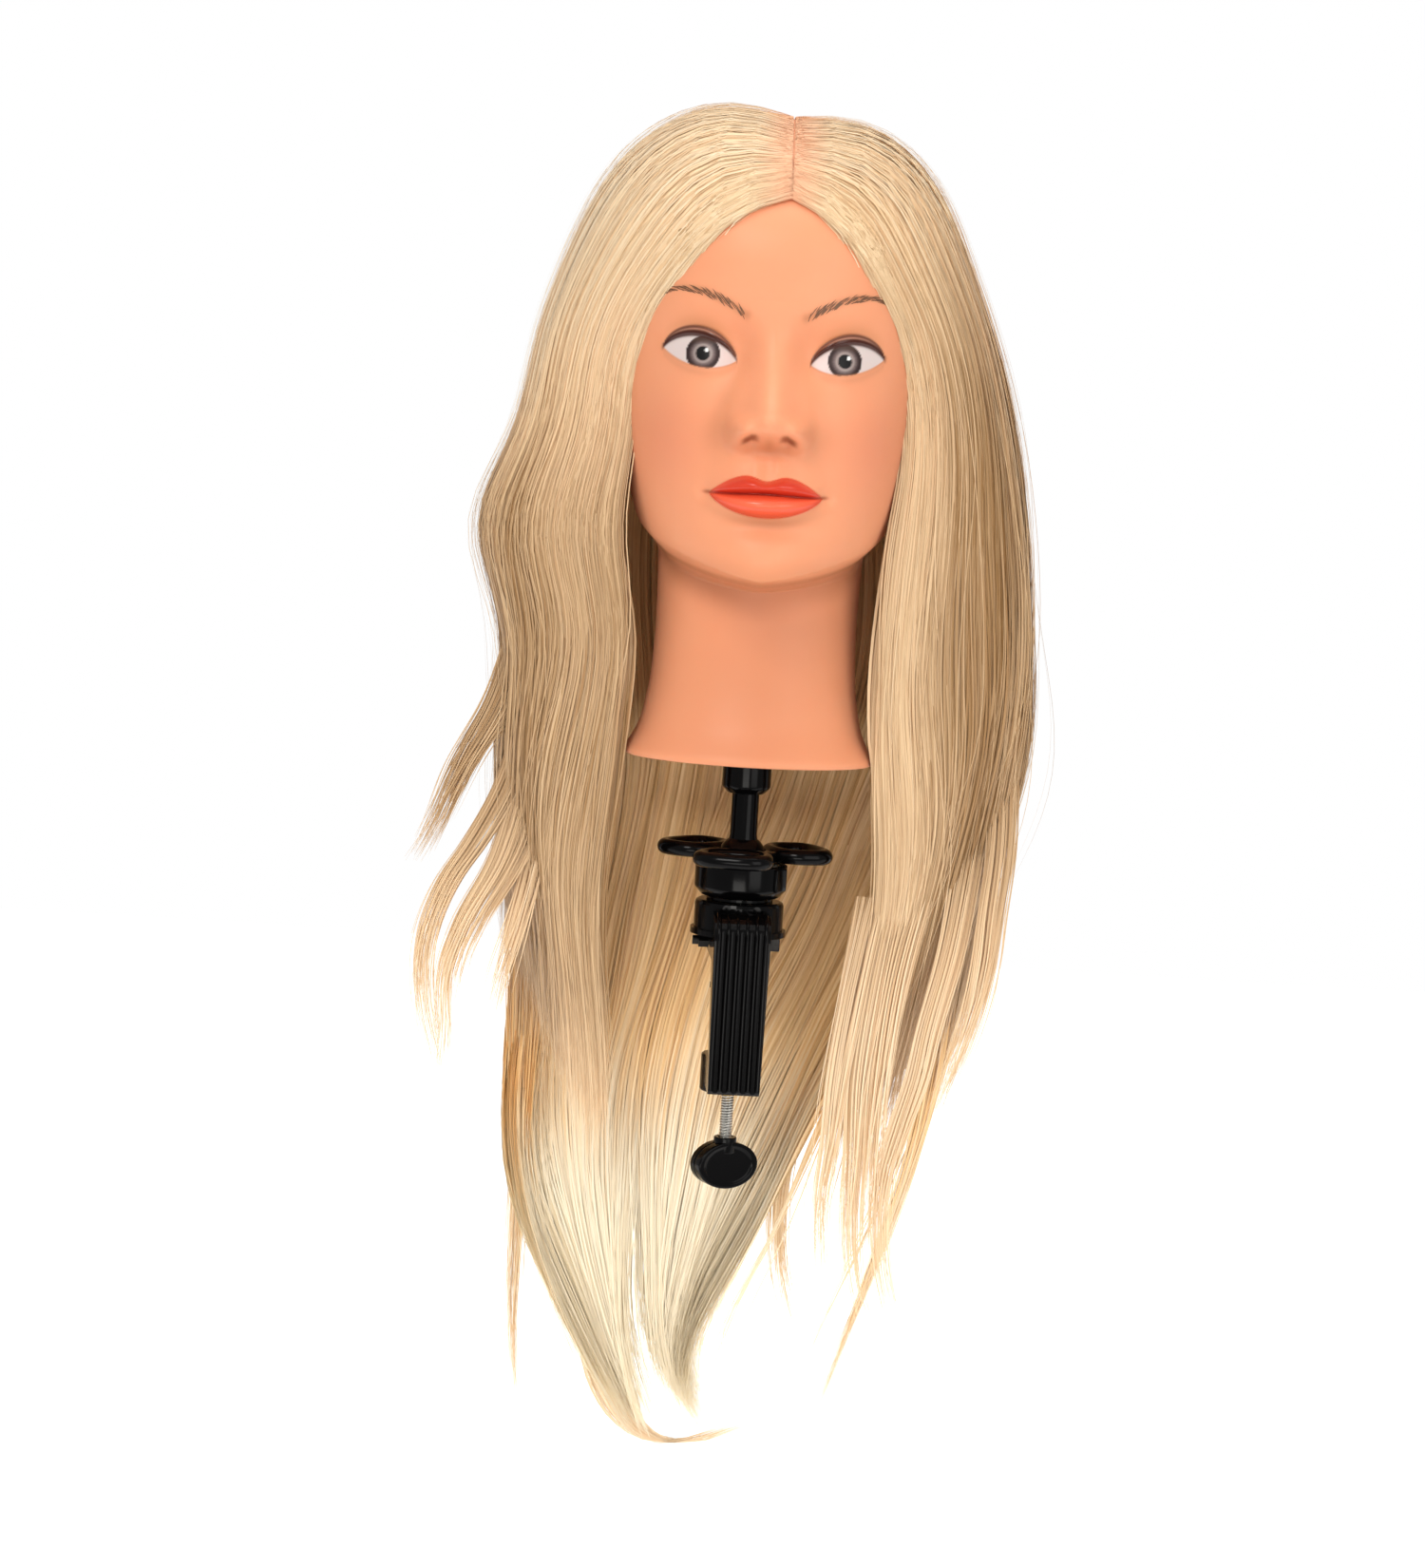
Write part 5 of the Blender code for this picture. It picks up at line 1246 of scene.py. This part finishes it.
def closed_object(name, points, material, body, node=None):
    """A closed piece from rings of points, its first and last rings filled."""
    mesh = mesh_from_grid(name, points, close_columns=True)
    close_ends(mesh, merge=0.000002)
    mesh.shade_smooth()
    mesh.set_sharp_from_angle(angle=math.radians(40))
    obj = add_object(name, mesh)
    obj.data.materials.append(material)
    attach(obj, body)
    if node:
        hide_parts(node)


def lathe(profile, steps=96):
    """Rings of points from a profile of (radius, height) pairs."""
    turn = circle(steps)
    profile = np.asarray(profile, float)
    x, y = profile[:, :1] * np.cos(turn), profile[:, :1] * np.sin(turn)
    return np.stack([x, y, np.broadcast_to(profile[:, 1:], x.shape)], axis=-1)


def tube(centres, side, up, radius, steps=16):
    """Rings of a round bar along the centres, from two directions across it at each centre."""
    turn = circle(steps)[None, :, None]
    return centres[:, None] + radius * (np.cos(turn) * side[:, None] + np.sin(turn) * up[:, None])


def make_screw(material):
    """The clamp screw with its thread."""
    radius, low, high = 0.0031, -0.0974, -0.0153
    pitch, depth, steps, rows_per_turn = 0.00125, 0.00050, 28, 8
    z = np.linspace(low, high, int((high - low) / pitch * rows_per_turn))[:, None]
    turn = circle(steps)[None, :]
    wave = np.abs(((z / pitch - turn / (2 * np.pi)) % 1.0) * 2 - 1)
    ends = smoothstep(z, low, low + 0.0008) * (1 - smoothstep(z, high - 0.0008, high))
    reach = radius - depth * (1 - wave * ends)
    height = np.broadcast_to(z, reach.shape)
    points = np.stack([reach * np.cos(turn), reach * np.sin(turn), height], axis=-1)
    closed_object("threaded_screw", points, material, BODY["clamp_screw"], "clamp_screw")


def make_knob(material):
    """The oval thumb knob: a rounded disc with a shallow dished face and a groove round its edge."""
    middle_z, half_width, half_height, half_thick = -0.0990, 0.0155, 0.0110, 0.00525
    turn = math.radians(28)
    wide = np.array((math.cos(turn), math.sin(turn), 0.0))
    out = np.array((math.sin(turn), -math.cos(turn), 0.0))
    tall = np.array((0.0, 0.0, 1.0))
    profile = rounded(((0.0126, -half_thick), (0.0, -half_thick), (0.0, -0.0006), (0.0004, 0.0),
                       (0.0, 0.0006), (0.0, half_thick), (0.0022, half_thick),
                       (0.0032, half_thick - 0.0006), (0.0126, half_thick - 0.0006)), 0.0016, 6)
    angle = circle(96)[None, :, None]
    scale = (1 - profile[:, 0] / 0.0130)[:, None, None]
    oval_ring = half_width * np.cos(angle) * wide + half_height * np.sin(angle) * tall
    points = oval_ring * scale + profile[:, 1][:, None, None] * out + np.array((0, 0, middle_z))
    closed_object("knob_disc", points, material, BODY["thumb_knob"], "thumb_knob")
    hub = rounded(((0.0033, -0.0935), (0.0054, -0.0935), (0.0054, -0.0860), (0.0033, -0.0860),
                   (0.0033, -0.0935)), 0.0006)
    closed_object("knob_collar", lathe(hub, 48), material, BODY["thumb_knob"])


def make_handwheel(material):
    """Three rounded open lobes of round bar on a hub with a ball mouth."""
    middle_z, tube_r, reach, half_out, half_across = 0.0475, 0.0036, 0.0272, 0.0116, 0.0155
    t = np.append(circle(96), 2 * np.pi)
    power = 2 / 2.7
    out = half_out * np.sign(np.cos(t)) * np.abs(np.cos(t)) ** power
    across = half_across * np.sign(np.sin(t)) * np.abs(np.sin(t)) ** power * (0.96 + 0.12 * np.cos(t))
    flat = np.stack([reach + out, across, 0 * t], axis=-1)
    way = np.gradient(flat, axis=0)
    way[0] = way[-1] = flat[1] - flat[-2]
    way = unit(way)
    side = np.stack([way[:, 1], -way[:, 0], 0 * t], axis=-1)
    up = np.zeros_like(side)
    up[:, 2] = 1.0
    rings = tube(flat, side, up, tube_r, 24)
    for number, azimuth in enumerate((-98, 22, 142)):
        points = turned(rings, math.radians(azimuth)) + np.array((0, 0, middle_z))
        closed_object(f"wheel_lobe_{number + 1}", points, material, BODY["star_handwheel"])
    low, high, radius, ball_z, room_r = 0.0433, 0.0495, 0.0166, 0.0450, 0.01185
    bore = [(math.sqrt(room_r ** 2 - (z - ball_z) ** 2), z) for z in np.linspace(high, low, 12)]
    profile = np.vstack([rounded((bore[-1], (radius, low), (radius, high), bore[0]), 0.0010), bore[1:]])
    closed_object("wheel_hub", lathe(profile), material, BODY["star_handwheel"], "star_handwheel")


def make_collar(material):
    """The swivel collar with its foot and key, and the sleeve and post above it."""
    profile = rounded(((0.0033, 0.0277), (0.0179, 0.0277), (0.0214, 0.0315), (0.0214, 0.0430),
                       (0.0170, 0.0430), (0.0170, 0.0296), (0.0033, 0.0296), (0.0033, 0.0277)), 0.0009)
    closed_object("collar_ring", lathe(profile), material, BODY["socket_collar"], "socket_collar")
    turn = math.radians(-32)
    bm = bmesh.new()
    bmesh.ops.create_cube(bm, size=1.0)
    bmesh.ops.scale(bm, verts=bm.verts, vec=(0.0034, 0.009, 0.0105))
    bmesh.ops.bevel(bm, geom=bm.edges[:], offset=0.0006, segments=3, profile=0.5, affect="EDGES")
    bmesh.ops.translate(bm, verts=bm.verts, vec=(0.0206, 0, 0.0370))
    bmesh.ops.rotate(bm, verts=bm.verts, matrix=Matrix.Rotation(turn, 3, "Z"))
    mesh = bpy.data.meshes.new("collar_key")
    bm.to_mesh(mesh)
    bm.free()
    mesh.shade_smooth()
    key = add_object("collar_key", mesh)
    key.data.materials.append(material)
    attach(key, BODY["socket_collar"])
    sleeve = rounded(((0.0, 0.1370), (0.0083, 0.1370), (0.0113, 0.1340), (0.0113, 0.0785), (0.0083, 0.0755),
                      (0.0066, 0.0755), (0.0066, 0.1183), (0.0, 0.1183)), 0.0009)
    closed_object("post_sleeve", lathe(sleeve), material, BODY["plug_sleeve"], "plug_sleeve")
    ball_r, ball_z = 0.0115, 0.0450
    sweep = np.linspace(0.02, math.pi - 0.62, 40)
    ball = [(ball_r * math.sin(a), ball_z - ball_r * math.cos(a)) for a in sweep]
    post = np.array(ball + [(0.0063, 0.0565), (0.0063, 0.1175), (0.0058, 0.1180), (0.0, 0.1180)])
    closed_object("smooth_post", lathe(post), material, BODY["ball_post"], "ball_post")


def make_spine_ribs(material):
    """Fine ridges between the flutes, which run up the spine's front and over its rounded top."""
    front_y, top_z, top_round, back_y = -0.0370, 0.0220, 0.0110, -0.0140
    yaw = math.radians(3.5)
    path = [(front_y, -0.0575), (front_y, -0.0300), (front_y, top_z - top_round)]
    path += [(front_y + top_round * (1 - math.cos(a)), top_z - top_round * (1 - math.sin(a)))
             for a in np.linspace(0, math.pi / 2, 14)[1:]]
    path.append((back_y - 0.0008, top_z))
    path = np.array(path)
    way = unit(np.gradient(path, axis=0))
    count = len(path)
    side = np.tile(np.array((1.0, 0.0, 0.0)), (count, 1))
    up = np.stack([0 * way[:, 0], -way[:, 1], way[:, 0]], axis=-1)
    for number, x in enumerate((-0.0108, -0.00645, -0.00215, 0.00215, 0.00645, 0.0108)):
        centres = np.stack([np.full(count, x), path[:, 0], path[:, 1]], axis=-1)
        radius = 0.0008 if abs(x) < 0.01 else 0.0011
        points = turned(tube(centres, side, up, radius, 12), yaw)
        closed_object(f"spine_rib_{number + 1}", points, material, BODY["clamp_frame"])


def dress_clamp():
    black = black_plastic_material()
    steel = metal_material("zinc_plate", linear(168, 166, 160), linear(226, 223, 216))
    brass = metal_material("brass", linear(150, 112, 52), linear(205, 168, 96))
    nylon = matt_material("nylon", linear(196, 190, 174), linear(216, 210, 196), 0.45)
    dark_steel = metal_material("black_oxide", linear(34, 33, 32), linear(62, 60, 58), 0.30, 0.45)
    rubber = matt_material("rubber", linear(26, 26, 26), linear(40, 40, 40), 0.8)
    base = matt_material("neck_base", linear(226, 148, 106), linear(238, 160, 118), 0.5)
    finish = {"black_plastic": black, "zinc_steel": steel, "brass": brass, "nylon": nylon,
              "black_steel": dark_steel, "black_rubber": rubber, "vinyl_skin": base}
    for item in frame["record"]["subparts"]:
        slot = item["material_slot"]
        if slot in finish:
            dress_node(item["node"], finish[slot])
    make_screw(steel)
    make_knob(black)
    make_handwheel(black)
    make_collar(black)
    make_spine_ribs(black)


# ------------------------------------------------------------------ stage, lights and camera

def make_stage():
    """A pale floor below the tips of the hair."""
    bpy.ops.mesh.primitive_plane_add(size=2.4, location=(0, 0.85, CAD_BOX[0][2] - 0.035))
    floor = bpy.context.object
    floor.name = "studio_floor"
    n = Nodes("pale_floor")
    n.set(Base_Color=n.mix(n.noise(1.5), (0.93, 0.93, 0.93, 1), (0.96, 0.96, 0.96, 1)), Roughness=0.9,
          Specular_IOR_Level=0.0, Emission_Color=(1, 1, 1, 1), Emission_Strength=0.66)
    floor.data.materials.append(n.material)


def area_light(name, place, target, size, power, colour=(1, 1, 1)):
    data = bpy.data.lights.new(name, "AREA")
    data.shape = "RECTANGLE"
    data.size, data.size_y = size
    data.energy = power
    data.color = colour
    lamp = bpy.data.objects.new(name, data)
    bpy.context.scene.collection.objects.link(lamp)
    lamp.location = place
    lamp.rotation_euler = (Vector(target) - Vector(place)).to_track_quat("-Z", "Y").to_euler()


def make_lights():
    """A white backdrop all round that lights the object softly, and four soft lamps."""
    world = bpy.data.worlds.new("studio")
    bpy.context.scene.world = world
    world.use_nodes = True
    tree = world.node_tree
    background = tree.nodes["Background"]
    background.inputs["Color"].default_value = (1.0, 1.0, 1.0, 1.0)
    seen = tree.nodes.new("ShaderNodeLightPath")
    strength = tree.nodes.new("ShaderNodeMapRange")
    strength.inputs["To Min"].default_value = 0.46
    strength.inputs["To Max"].default_value = 1.0
    tree.links.new(seen.outputs["Is Camera Ray"], strength.inputs["Value"])
    tree.links.new(strength.outputs["Result"], background.inputs["Strength"])
    area_light("key", (-0.7, -1.9, 1.4), (0, 0, 0.2), (0.8, 0.8), 20, (1.0, 0.97, 0.93))
    area_light("fill", (1.3, -1.8, 0.4), (0, 0, 0.1), (1.2, 1.6), 13, (1.0, 0.98, 0.96))
    area_light("top", (0.1, -0.2, 1.7), (0, 0, 0.3), (0.9, 0.9), 9, (1.0, 0.98, 0.95))
    area_light("low", (-0.1, -1.7, -0.35), (0, 0.08, -0.15), (0.9, 0.4), 6, (1.0, 0.97, 0.92))


def make_camera():
    distance = 1.6
    elevation = math.radians(5.5)
    roll = math.radians(3.4)
    view_height = 0.726       # metres that the picture takes in from top to bottom, at the target
    sensor = 36.0
    target = Vector((-0.0157, 0.0, 0.0788))
    back = Vector((0.0, -math.cos(elevation), math.sin(elevation)))
    right = Vector((1.0, 0.0, 0.0))
    up = back.cross(right)
    image_right = right * math.cos(roll) + up * math.sin(roll)
    image_up = up * math.cos(roll) - right * math.sin(roll)
    data = bpy.data.cameras.new("camera")
    data.sensor_fit = "VERTICAL"
    data.sensor_height = sensor
    data.lens = sensor * distance / view_height
    data.clip_start = 0.05
    camera = bpy.data.objects.new("camera", data)
    bpy.context.scene.collection.objects.link(camera)
    turn = Matrix((image_right, image_up, back)).transposed().to_4x4()
    camera.matrix_world = Matrix.Translation(target + back * distance) @ turn
    bpy.context.scene.camera = camera
    bpy.context.scene.view_settings.view_transform = "Standard"


make_camera()
make_stage()
make_lights()
make_head()
make_foam_core()
brow_strokes()
make_scalp_line()
make_hair()
dress_clamp()
